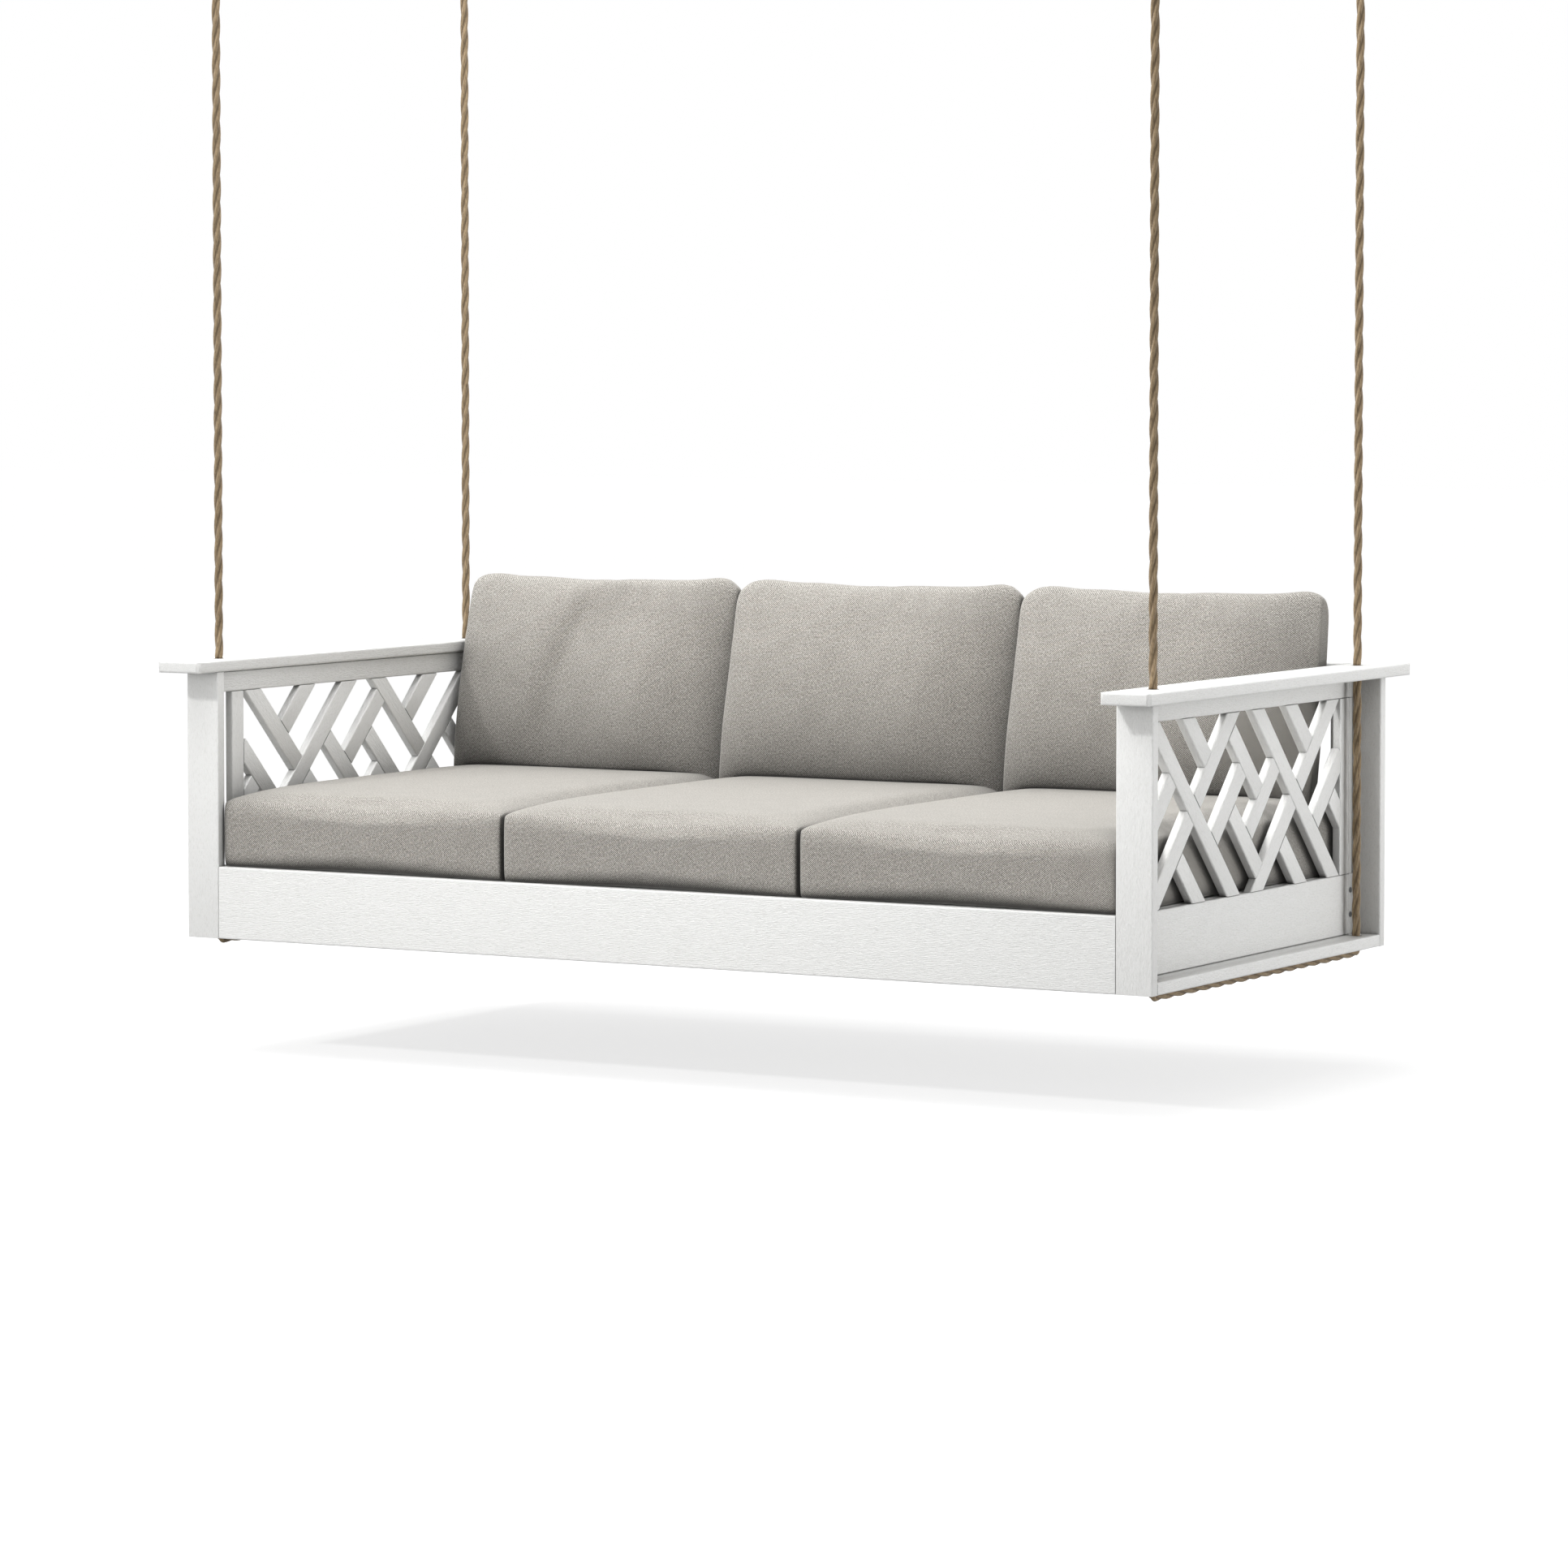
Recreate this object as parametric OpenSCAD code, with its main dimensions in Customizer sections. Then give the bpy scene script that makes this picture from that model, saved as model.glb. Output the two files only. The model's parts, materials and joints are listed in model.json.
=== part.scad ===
// Hanging swing bed: a slatted deck and lattice sides of recycled plastic lumber, slung on four
// ropes. Origin: middle of the four ceiling studs, on the ceiling plane. +X is right and +Y is back.

/* [Frame] */
// Width over the corner posts
frame_w = 2000; // [1700:10:2300]
// Depth over the corner posts
frame_d = 968; // [860:2:1100]
// Height of the arm tops above the underside of the bed
arm_top = 518; // [480:2:580]
// Thickness of the heavy boards: posts, arms, cap, front and back aprons, bottom boards
heavy_t = 22; // [19:1:26]
// Thickness of the light boards: rails, side aprons and lattice
light_t = 16; // [13:1:19]
// Rounding along the edges of the boards
edge_r = 3; // [1:0.5:4]
// Width of a corner post
post_w = 70; // [62:1:84]
// Height of the aprons above the underside of the bed
apron_h = 134; // [120:1:160]
// Distance that the side panels stand in from the outer faces of the posts
side_inset = 50; // [44:1:52]
// Distance that the seat rails stand in from the front and back faces of the posts
rail_inset = 36; // [32:1:42]
// Width of the flat board under each side
bottom_board_w = 89; // [84:1:110]

/* [Arms and cap] */
// Width of an arm and of the back cap
arm_w = 96; // [92:1:110]
// Length of arm that stands out past the posts, in front and behind
arm_over = 61; // [50:1:80]
// Distance that the arms stand out past the posts sideways
arm_side_over = 24; // [18:1:34]
// Rounding of the arm corners, seen from above
arm_corner_r = 10; // [6:1:16]
// Rounding along the edges of the arms and the cap
arm_edge_r = 4.5; // [2:0.5:6]

/* [Lattice] */
// Width of a lattice bar
bar_w = 38; // [32:1:42]
// Distance from one lattice bar to the next parallel one, across the bars
bar_pitch = 99.5; // [94:0.5:110]
// Width of the upright stiles at the ends of a panel
stile_w = 38; // [32:1:42]
// Height of the rails above the lattice
top_rail_h = 38; // [32:1:44]
// Open joint line where lattice pieces butt together
seam = 0.4; // [0.3:0.1:0.8]

/* [Seat deck] */
// Width of a seat slat
slat_w = 70; // [55:1:80]
// Number of seat slats
slat_n = 13; // [11:1:15]
// Width and height of the cleats that carry the slats
cleat = 32; // [26:1:36]
// Thickness of the beam under the middle of the slats
beam_t = 38; // [30:1:44]
// Diameter of the screws in the ends of the seat rails
screw_d = 5; // [4:0.5:6]
// Length of those screws in the wood
screw_l = 45; // [30:1:60]

/* [Cushions] */
// Number of seat cushions side by side
cushion_n = 3; // [2:1:3]
// Gap at each end of the row of cushions, to the side panels
cushion_side_gap = 11; // [8:1:24]
// Gap between neighbouring cushions
cushion_gap = 1.6; // [1:0.2:4]
// Height of a seat cushion at its edges
seat_edge_h = 118; // [100:1:130]
// Extra height of a seat cushion at its middle
seat_crown = 28; // [15:1:30]
// Distance of the seat cushions behind the front face of the posts
seat_front_gap = 12; // [8:1:20]
// Height of a back cushion, measured along its lean
back_h = 396; // [340:1:420]
// Thickness of a back cushion at its edges
back_edge_t = 76; // [66:1:86]
// Extra thickness of a back cushion at its middle, on each face
back_crown = 18; // [10:1:22]
// Lean of the back cushions
back_lean = 9; // [6:0.5:11]

/* [Ropes] */
// Diameter of the rope
rope_d = 16; // [14:1:18]
// Diameter of the rope holes in the arms and bottom boards
rope_hole_d = 21; // [20:0.5:24]
// Distance of the ropes from the outer sides of the posts
rope_side_inset = 30; // [26:1:32]
// Distance of the ropes from the front and back faces of the posts
rope_end_inset = 61; // [56:1:66]
// Centre-line radius of the bend where a rope turns under a bottom board
sling_bend_r = 9.5; // [9.2:0.1:12]
// Free length of each rope, from the arm to the end of its splice
rope_free = 1324; // [1200:1:1600]

/* [Ceiling hangers] */
// Diameter of the flange against the ceiling
flange_d = 72; // [60:1:90]
// Thickness of the flange
flange_t = 6; // [5:0.5:10]
// Diameter of the stud that goes up into the joist
stud_d = 12; // [10:1:14]
// Length of the stud above the ceiling plane
stud_l = 70; // [50:1:110]
// Diameter of the hinge pins
pin_d = 12; // [10:0.5:13]
// Clearance all round a pin in the piece that turns on it
pin_clear = 0.05; // [0.02:0.01:0.08]
// Thickness of each fork cheek
cheek_t = 6; // [5:0.5:8]
// Clearance between a cheek and what turns beside it
cheek_clear = 0.4; // [0.3:0.1:0.6]
// Drop from the ceiling plane to the upper pin
upper_drop = 40; // [36:1:60]
// Distance from the upper pin to the lower pin
link_l = 64; // [60:1:80]
// Radius of the groove bottom of the thimble
thimble_r = 18; // [15:0.5:20]
// Length of the splice below the rope eye
splice_l = 112; // [90:1:150]
// Diameter of the splice at its thick end
splice_d = 23; // [20:0.5:24]

/* [Hidden] */
$fn = 64;

// colours
white = "#f0f0ee";
white_side = "#e2e1df";
fabric = "#aaa79f";
rope_tan = "#9c8968";
steel = "#b9bcbf";
dark_steel = "#7d8083";

// half sizes of the frame, measured from the middle of the bed
half_w = frame_w / 2;
half_d = frame_d / 2;
panel_x = half_w - side_inset;              // outer face of the side panels
rail_y = half_d - rail_inset;               // outer faces of the seat rails and the back panel
arm_bottom = arm_top - heavy_t;
rail_z = heavy_t;                           // the seat frame stands on the bottom boards
side_len = 2 * (rail_y - light_t);          // side pieces run between the seat rails
side_open_w = side_len - 2 * stile_w;
open_h = arm_bottom - top_rail_h - apron_h; // height of the lattice opening
clear = 0.3;                                // between pieces that touch
cap_y = rail_y + clear;                     // front edge of the back cap
cap_l = 2 * (half_w + arm_side_over - arm_w) - 2 * seam;
block_r = 1;                                // edges of the packing blocks
slat_t = heavy_t;
deck_z = apron_h;                           // top of the slats, flush with the aprons
inner_x = panel_x - light_t;
inner_y = rail_y - light_t;

// rope and hanger places
rope_r = rope_d / 2;
rope_x = half_w - rope_side_inset;
rope_y = half_d - rope_end_inset;
neck_z = arm_top;                           // the rope bends at the mouth of the arm hole
neck_r = rope_r - 0.2;
lower_drop = upper_drop + link_l;
eye_r = thimble_r + rope_r;                 // centre line of the rope round the thimble
splice_drop = lower_drop + eye_r + splice_l;
ceiling_z = neck_z + rope_free + splice_drop;
tongue_t = 2 * rope_r;
ear_wall = 8;                               // metal round a pin
ear_r = pin_d / 2 + ear_wall;
yoke_gap = 2;                               // between the thimble and the cheeks of a link
yoke_in = rope_r + yoke_gap;
pin_head_t = 3;
pin_head_rim = 2.5;
thimble_rim = 3.5;                          // groove depth of the thimble
bridge_t = 8;                               // block of a link between its tongue and its fork
screw_head_t = 1.6;
corners = [[-1, -1], [1, -1], [-1, 1], [1, 1]];

screw_heights = [0.33, 0.73];               // shares of the rail's height

// lattice strips: where the first strip of a three-strip repeat lies, in pitches
falling_phase = 0.45;
rising_phase = 1.43;
far = 99;                                   // a bar that runs on to the frame
shortest_bar = 1.6;                         // in bar widths

// turned profile of a board, corner at the origin
module round_rect(w, t, r) {
    translate([r, 0]) square([w - 2 * r, t]);
    translate([0, r]) square([w, t - 2 * r]);
    for (x = [r, w - r], y = [r, t - r]) translate([x, y]) circle(r);
}

// board along X from the origin, w wide along Y and t thick along Z
module board(l, w, t, r = edge_r) {
    rotate([90, 0, 90]) linear_extrude(l) round_rect(w, t, r);
}

// board that stands up along Z from the origin, w wide along X and t thick along Y
module upright(h, w, t, r = edge_r) {
    linear_extrude(h) round_rect(w, t, r);
}

// board on edge along X: t thick along Y and h high along Z
module rail(l, t, h, r = edge_r) {
    rotate([90, 0, 90]) linear_extrude(l) round_rect(t, h, r);
}

// board on edge along Y: t thick along X and h high along Z
module side_rail(l, t, h, r = edge_r) {
    translate([t, 0, 0]) rotate([0, 0, 90]) rail(l, t, h, r);
}

// places the bed under the ceiling plane
module hung() {
    translate([0, 0, -ceiling_z]) children();
}

// the same piece at the other side of the bed, turned about the middle
module turned() {
    rotate([0, 0, 180]) children();
}

module at_corner(c) {
    translate([c[0] * rope_x, c[1] * rope_y, 0]) children();
}

// ---- posts, arms and cap

module post(c) {
    color(white) hung()
        translate([c[0] > 0 ? half_w - post_w : -half_w, c[1] > 0 ? half_d - heavy_t : -half_d, 0])
            upright(arm_bottom, post_w, heavy_t);
}

// flat board with rounded corners and eased edges, corner at the origin, long side along Y
module eased_slab(w, l, t) {
    intersection() {
        linear_extrude(t) round_rect(w, l, arm_corner_r);
        translate([w, 0, 0]) rotate([0, 0, 90]) board(l, w, t, arm_edge_r);
        board(w, l, t, arm_edge_r);
    }
}

module right_arm() {
    arm_l = frame_d + 2 * arm_over;
    difference() {
        translate([half_w + arm_side_over - arm_w, -arm_l / 2, arm_bottom])
            eased_slab(arm_w, arm_l, heavy_t);
        for (s = [-1, 1]) translate([rope_x, s * rope_y, arm_bottom - 1])
            cylinder(h = heavy_t + 2, d = rope_hole_d);
    }
}

module arm_right() {
    color(white) hung() right_arm();
}

module arm_left() {
    color(white) hung() turned() right_arm();
}

// the cap runs between the arms, flush with their tops and their back ends
module back_cap() {
    color(white) hung() translate([-cap_l / 2, cap_y, arm_bottom])
        board(cap_l, half_d + arm_over - cap_y, heavy_t, arm_edge_r);
}

// batten under the cap, on the back of the top rail
module cap_cleat() {
    cleat_l = cap_l - 2 * cleat;
    color(white_side) hung() translate([-cleat_l / 2, rail_y, arm_bottom - cleat])
        board(cleat_l, half_d - heavy_t - rail_y + cleat / 2, cleat);
}

// ---- side and back panels

module right_top_rail() {
    translate([panel_x - light_t, -half_d + heavy_t, arm_bottom - top_rail_h])
        side_rail(half_d - heavy_t + inner_y, light_t, top_rail_h);
}

module side_top_rail_right() {
    color(white_side) hung() right_top_rail();
}

module side_top_rail_left() {
    color(white_side) hung() mirror([1, 0, 0]) right_top_rail();
}

// where a bar at distance u across the panel's middle leaves an opening w by h, along the bar
function bar_lo(u, w, h) = max(-w / sqrt(2) - u, u - h / sqrt(2)) - bar_w;
function bar_hi(u, w, h) = min(w / sqrt(2) - u, u + h / sqrt(2)) + bar_w;

// one bar along X of the turned panel, at strip u, from v0 to v1
module lattice_bar(u, v0, v1, w, h) {
    lo = max(v0, bar_lo(u, w, h));
    hi = min(v1, bar_hi(u, w, h));
    if (hi - lo > shortest_bar * bar_w)
        translate([lo, u - bar_w / 2, 0]) board(hi - lo, bar_w, light_t, edge_r);
}

// middle of strip n, where the pattern starts o pitches from the middle of the opening
function falling_at(n, o) = (n + o + falling_phase) * bar_pitch;
function rising_at(n, o) = (n + o + rising_phase) * bar_pitch;

// falling bar on strip k, between the rising strips m0 and m1
module falling(k, m0, m1, o, w, h) {
    v0 = m0 <= -far ? -far * bar_pitch : rising_at(m0, o) + bar_w / 2 + seam;
    v1 = m1 >= far ? far * bar_pitch : rising_at(m1, o) - bar_w / 2 - seam;
    rotate([0, 0, -45]) lattice_bar(falling_at(k, o), v0, v1, w, h);
}

// rising bar on strip m, between the falling strips k0 and k1
module rising(m, k0, k1, o, w, h) {
    u0 = k0 <= -far ? -far * bar_pitch : falling_at(k0, o) + bar_w / 2 + seam;
    u1 = k1 >= far ? far * bar_pitch : falling_at(k1, o) - bar_w / 2 - seam;
    mirror([0, 1, 0]) rotate([0, 0, -45]) lattice_bar(rising_at(m, o), u0, u1, w, h);
}

// woven lattice in an opening w wide and h high, centred on the origin, in three-strip repeats
module lattice(w, h) {
    repeats = floor((w + h) / (3 * sqrt(2) * bar_pitch));
    o = -1.5 * repeats;
    intersection() {
        translate([-w / 2 + seam, -h / 2 + seam, -1]) cube([w - 2 * seam, h - 2 * seam, light_t + 2]);
        union() for (n = [0:repeats - 1]) {
            s = 3 * n;
            falling(s + 1, -far, far, o, w, h);
            falling(s + 2, -far, s, o, w, h);
            falling(s + 2, s + 1, s + 3, o, w, h);
            falling(s, s - 3, s - 1, o, w, h);
            falling(s, s, far, o, w, h);
            rising(s, -far, s + 1, o, w, h);
            rising(s, s + 1, far, o, w, h);
            rising(s + 1, s + 1, s + 3, o, w, h);
            rising(s - 1, s - 1, s + 1, o, w, h);
        }
    }
}

// stiles at both ends of an opening, centred like the lattice
module stile_at(x, h) {
    translate([x - stile_w / 2, -h / 2 + seam, 0])
        translate([0, h - 2 * seam, 0]) rotate([90, 0, 0]) upright(h - 2 * seam, stile_w, light_t);
}

module right_lattice() {
    translate([inner_x, 0, apron_h + open_h / 2]) rotate([90, 0, 90]) {
        lattice(side_open_w, open_h);
        for (s = [-1, 1]) stile_at(s * (side_open_w + stile_w) / 2, open_h);
    }
}

module side_lattice_right() {
    color(white_side) hung() right_lattice();
}

module side_lattice_left() {
    color(white_side) hung() turned() right_lattice();
}

module back_top_rail() {
    color(white_side) hung() translate([-panel_x, inner_y, arm_bottom - top_rail_h])
        rail(2 * panel_x, light_t, top_rail_h);
}

// two openings beside a middle stile
module back_lattice() {
    back_open_w = panel_x - 1.5 * stile_w;
    color(white_side) hung() translate([0, rail_y, apron_h + open_h / 2]) rotate([90, 0, 0]) {
        for (s = [-1, 1]) {
            translate([s * (back_open_w + stile_w) / 2, 0, 0]) lattice(back_open_w, open_h);
            stile_at(s * (panel_x - stile_w / 2), open_h);
        }
        stile_at(0, open_h);
    }
}

// ---- seat frame and deck

module right_bottom_board() {
    difference() {
        translate([half_w - bottom_board_w, -half_d + heavy_t, 0])
            translate([bottom_board_w, 0, 0]) rotate([0, 0, 90])
                board(frame_d - 2 * heavy_t, bottom_board_w, heavy_t);
        for (s = [-1, 1]) translate([rope_x, s * rope_y, -1])
            cylinder(h = heavy_t + 2, d = rope_hole_d);
    }
}

module bottom_board_right() {
    color(white_side) hung() right_bottom_board();
}

module bottom_board_left() {
    color(white_side) hung() turned() right_bottom_board();
}

module end_apron() {
    translate([-half_w + post_w, -half_d, 0]) rail(frame_w - 2 * post_w, heavy_t, apron_h);
}

module front_apron() {
    color(white) hung() end_apron();
}

module back_apron() {
    color(white) hung() turned() end_apron();
}

module right_side_apron() {
    translate([inner_x, -side_len / 2, rail_z]) side_rail(side_len, light_t, apron_h - rail_z);
}

module side_apron_right() {
    color(white_side) hung() right_side_apron();
}

module side_apron_left() {
    color(white_side) hung() turned() right_side_apron();
}

module end_rail() {
    difference() {
        translate([-panel_x, -rail_y, rail_z]) rail(2 * panel_x, light_t, apron_h - rail_z);
        at_rail_screws() translate([0, 0, -screw_l - clear])
            cylinder(h = screw_l + 1, d = screw_d + 2 * pin_clear);
    }
}

module front_rail() {
    color(white_side) hung() end_rail();
}

module back_rail() {
    color(white_side) hung() turned() end_rail();
}

// packing blocks between the aprons, the posts and the seat rails
module frame_blocks() {
    block_t = rail_inset - heavy_t;
    block_x = half_w - bottom_board_w;
    color(white_side) hung() for (c = corners)
        mirror([c[0] < 0 ? 1 : 0, 0, 0]) mirror([0, c[1] < 0 ? 1 : 0, 0]) {
            translate([block_x, rail_y, rail_z])
                upright(apron_h - rail_z - clear, panel_x - block_x, block_t, block_r);
            translate([block_x / 2 - stile_w / 2, rail_y, 0])
                upright(apron_h - clear, stile_w, block_t, block_r);
        }
}

cleat_z = deck_z - slat_t - cleat;          // underside of the slat cleats

module slat_cleats() {
    color(white_side) hung() for (s = [0, 180]) rotate([0, 0, s])
        translate([-inner_x, inner_y - cleat, cleat_z]) board(2 * inner_x, cleat, cleat);
}

// runs across under the middle of the slats and stands on the bottom boards
module deck_beam() {
    color(white_side) hung() translate([-inner_x, -beam_t / 2, rail_z])
        rail(2 * inner_x, beam_t, deck_z - slat_t - rail_z);
}

module seat_slats() {
    slat_l = 2 * inner_y - 2 * seam;
    slat_step = (2 * inner_x - slat_w - 2 * edge_r) / (slat_n - 1);
    color(white_side) hung() for (i = [0:slat_n - 1])
        translate([(i - (slat_n - 1) / 2) * slat_step - slat_w / 2, -slat_l / 2, deck_z - slat_t])
            translate([slat_w, 0, 0]) rotate([0, 0, 90]) board(slat_l, slat_w, slat_t);
}

// screw places on the end of a seat rail
module at_rail_screws() {
    for (c = corners, z = screw_heights)
        translate([c[0] * panel_x, c[1] * (rail_y - light_t / 2), rail_z + z * (apron_h - rail_z)])
            rotate([0, c[0] * 90, 0]) children();
}

// screws in the ends of the seat rails, seen at the corners beside the posts
module frame_screws() {
    color(dark_steel) hung() at_rail_screws() {
        translate([0, 0, -screw_l]) cylinder(h = screw_l, d = screw_d);
        cylinder(h = screw_head_t, d = 2 * screw_d);
    }
}

// ---- cushions

ring_n = 40;

// rounded rectangle with half sizes a and b, corner radius r and sides drawn in by d at the middle
function side_pull(t, d) = d * (1 - (2 * t - 1) * (2 * t - 1));
function outline(a, b, r, d) = [for (q = [0:3])
    let (l = q % 2 == 0 ? b : a, o = q % 2 == 0 ? a : b)
    for (i = [0:9])
        let (arc = i < 4,
             ang = arc ? i * 30 : 0,
             t = (i - 3) / 7,
             p = arc ? [o - r + r * sin(ang), -l + r - r * cos(ang)]
                     : [o - side_pull(t, d), -l + r + t * 2 * (l - r)])
        [p[0] * cos(90 * q) - p[1] * sin(90 * q), p[0] * sin(90 * q) + p[1] * cos(90 * q)]];

// closed skin through rings, which are [inset, share of the outline, height]
module cushion_skin(a, b, r, d, rings) {
    rows = [for (g = rings) [for (p = outline(a - g[0], b - g[0], r, d)) [p[0] * g[1], p[1] * g[1], g[2]]]];
    n = len(rows);
    pts = [for (row = rows) each row, [0, 0, rings[0][2]], [0, 0, rings[n - 1][2]]];
    sides = [for (j = [0:n - 2], i = [0:ring_n - 1])
        let (p = j * ring_n + i, q = j * ring_n + (i + 1) % ring_n)
        each [[p, p + ring_n, q + ring_n], [p, q + ring_n, q]]];
    floor_fan = [for (i = [0:ring_n - 1]) [i, (i + 1) % ring_n, n * ring_n]];
    top_fan = [for (i = [0:ring_n - 1])
        [(n - 1) * ring_n + (i + 1) % ring_n, (n - 1) * ring_n + i, n * ring_n + 1]];
    polyhedron(pts, concat(sides, floor_fan, top_fan), convexity = 4);
}

function crown_at(f, h, p) = h * (1 - pow(f, p));

row_w = 2 * (inner_x - cushion_side_gap);
cushion_w = (row_w - (cushion_n - 1) * cushion_gap) / cushion_n;
seat_d = inner_y - clear + half_d - seat_front_gap;
seat_mid_y = (inner_y - clear - half_d + seat_front_gap) / 2;
seat_roll = 22;                             // rounding of the top edge
seat_p = 3.2;                               // how flat the crowns are
back_p = 2.4;
seat_corner_r = 14;                         // corners seen from above
back_corner_r = 48;                         // corners seen from the front
back_roll = 26;                             // rounding of the edges

module seat_cushion(i) {
    h = seat_edge_h;
    flat = deck_z + clear;
    rings = concat(
        [[20, 0.6, 0], [14, 1, 0], [5, 1, 4], [1, 1, 14], [0, 1, 0.5 * h]],
        [[2, 1, h - 24], [9, 1, h - 9], [seat_roll, 1, h]],
        [for (f = [0.9, 0.76, 0.56, 0.3]) [seat_roll, f, h + crown_at(f, seat_crown, seat_p)]]);
    color(fabric) hung()
        translate([(i - (cushion_n - 1) / 2) * (cushion_w + cushion_gap), seat_mid_y, flat])
            cushion_skin(cushion_w / 2, seat_d / 2, seat_corner_r, 3, rings);
}

// a back cushion leans on the top rail and stands on the crown of the seat cushions; its rounded
// edges let it stand lower and further back than its corners would
edge_drop = 3.7;
edge_back = 1.8;
function seat_top(y) = deck_z + clear + seat_edge_h
    + crown_at(abs(y - seat_mid_y) / (seat_d / 2 - seat_roll), seat_crown, seat_p);
rest_y = inner_y - back_crown - 1.2 * back_edge_t;
back_foot_z = seat_top(rest_y) - back_edge_t / 2 * sin(back_lean) + clear - edge_drop;
back_foot_y = inner_y - clear + edge_back - back_crown / cos(back_lean)
    - (arm_bottom - back_foot_z) * tan(back_lean);

module back_cushion(i) {
    t = back_edge_t;
    rings = concat(
        [for (f = [0.35, 0.65, 0.85]) [back_roll, f, -crown_at(f, back_crown, back_p)]],
        [[24, 1, 0], [9, 1, 6], [1, 1, 22], [0, 1, 0.5 * t], [1, 1, t - 22], [9, 1, t - 6], [24, 1, t]],
        [for (f = [0.85, 0.65, 0.35]) [back_roll, f, t + crown_at(f, back_crown, back_p)]]);
    color(fabric) hung()
        translate([(i - (cushion_n - 1) / 2) * (cushion_w + cushion_gap), back_foot_y, back_foot_z])
            rotate([90 - back_lean, 0, 0]) translate([0, back_h / 2, 0])
                cushion_skin(cushion_w / 2, back_h / 2, back_corner_r, 5, rings);
}

// ---- ropes

// rope held by the frame: down behind a front post, under the side and up again
module right_sling() {
    leg_top = neck_z - neck_r - clear;
    run_z = -rope_r - clear;
    leg_z = run_z + sling_bend_r;
    run_l = 2 * (rope_y - sling_bend_r);
    translate([rope_x, 0, 0]) {
        for (s = [-1, 1]) {
            translate([0, s * rope_y, leg_z]) cylinder(h = leg_top - leg_z, d = rope_d);
            mirror([0, s < 0 ? 0 : 1, 0]) translate([0, -rope_y + sling_bend_r, leg_z])
                rotate([0, -90, 0]) rotate([0, 0, 180]) rotate_extrude(angle = 90)
                    translate([sling_bend_r, 0]) circle(d = rope_d);
        }
        translate([0, -run_l / 2, run_z]) rotate([-90, 0, 0]) cylinder(h = run_l, d = rope_d);
    }
}

module sling_right() {
    color(rope_tan) hung() right_sling();
}

module sling_left() {
    color(rope_tan) hung() turned() right_sling();
}

// the short piece of rope that bends in the mouth of an arm hole
module rope_bend(c) {
    color(rope_tan) hung() at_corner(c) translate([0, 0, neck_z]) sphere(neck_r);
}

module rope_bends() {
    for (c = corners) if (c != corners[0]) rope_bend(c);
}

// route of a free rope, straight up from the arm to the splice
route_rings = 19;
function rope_route() = [for (i = [0:route_rings])
    neck_z + rope_r + clear + (rope_free - rope_r - 2 * clear) * i / route_rings];

module rope(c) {
    sides = 10;
    z = rope_route();
    pts = [for (h = z, k = [0:sides - 1]) [rope_r * cos(360 * k / sides), rope_r * sin(360 * k / sides), h]];
    wall = [for (j = [0:route_rings - 1], k = [0:sides - 1])
        let (p = j * sides + k, q = j * sides + (k + 1) % sides)
        each [[p, p + sides, q + sides], [p, q + sides, q]]];
    foot = [[for (k = [0:sides - 1]) k]];
    head = [[for (k = [sides - 1:-1:0]) route_rings * sides + k]];
    color(rope_tan) hung() at_corner(c) polyhedron(pts, concat(wall, foot, head), convexity = 2);
}

// rope turned round the thimble, with the splice below it
module rope_eye(c) {
    color(rope_tan) at_corner(c) translate([0, 0, -lower_drop]) {
        difference() {
            union() {
                rotate([90, 0, 0]) rotate_extrude() translate([eye_r, 0]) circle(d = rope_d);
                translate([0, 0, -eye_r - splice_l])
                    cylinder(h = splice_l, d1 = rope_d, d2 = splice_d);
            }
            rotate([90, 0, 0]) translate([0, 0, -splice_d]) cylinder(h = 2 * splice_d, r = thimble_r + clear);
        }
    }
}

// grooved solid thimble on the lower pin
module thimble(c) {
    color(steel) at_corner(c) translate([0, 0, -lower_drop]) rotate([90, 0, 0]) difference() {
        rotate_extrude() difference() {
            translate([0, -rope_r]) square([thimble_r + thimble_rim, 2 * rope_r]);
            translate([eye_r, 0]) circle(r = rope_r + clear);
        }
        translate([0, 0, -rope_d]) cylinder(h = 2 * rope_d, d = pin_d + 2 * pin_clear);
    }
}

// ---- ceiling hangers

// round-ended cheek, t thick along X, from the pin at the origin up to z
module cheek(t, z, r) {
    rotate([90, 0, 90]) linear_extrude(t) {
        circle(r);
        translate([-r, 0]) square([2 * r, z]);
    }
}

module hanger(c) {
    gap = tongue_t / 2 + cheek_clear;
    at_corner(c) difference() {
        union() {
            translate([0, 0, -flange_t]) cylinder(h = flange_t, d = flange_d);
            cylinder(h = stud_l, d = stud_d);
            for (x = [-gap - cheek_t, gap]) translate([x, 0, -upper_drop])
                cheek(cheek_t, upper_drop - flange_t, ear_r);
        }
        translate([-flange_d / 2, 0, -upper_drop]) rotate([0, 90, 0])
            cylinder(h = flange_d, d = pin_d + 2 * pin_clear);
    }
}

module hangers() {
    color(steel) for (c = corners) hanger(c);
}

// headed pin along X, centred on the origin, through cheeks that end at x = half
module headed_pin(half) {
    rotate([0, 90, 0]) {
        translate([0, 0, -half]) cylinder(h = 2 * half, d = pin_d);
        for (s = [-1, 1]) translate([0, 0, s * (half + pin_head_t / 2)])
            cylinder(h = pin_head_t, d = pin_d + 2 * pin_head_rim, center = true);
    }
}

module hanger_pins() {
    color(dark_steel) for (c = corners) at_corner(c) translate([0, 0, -upper_drop])
        headed_pin(tongue_t / 2 + cheek_clear + cheek_t);
}

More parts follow.
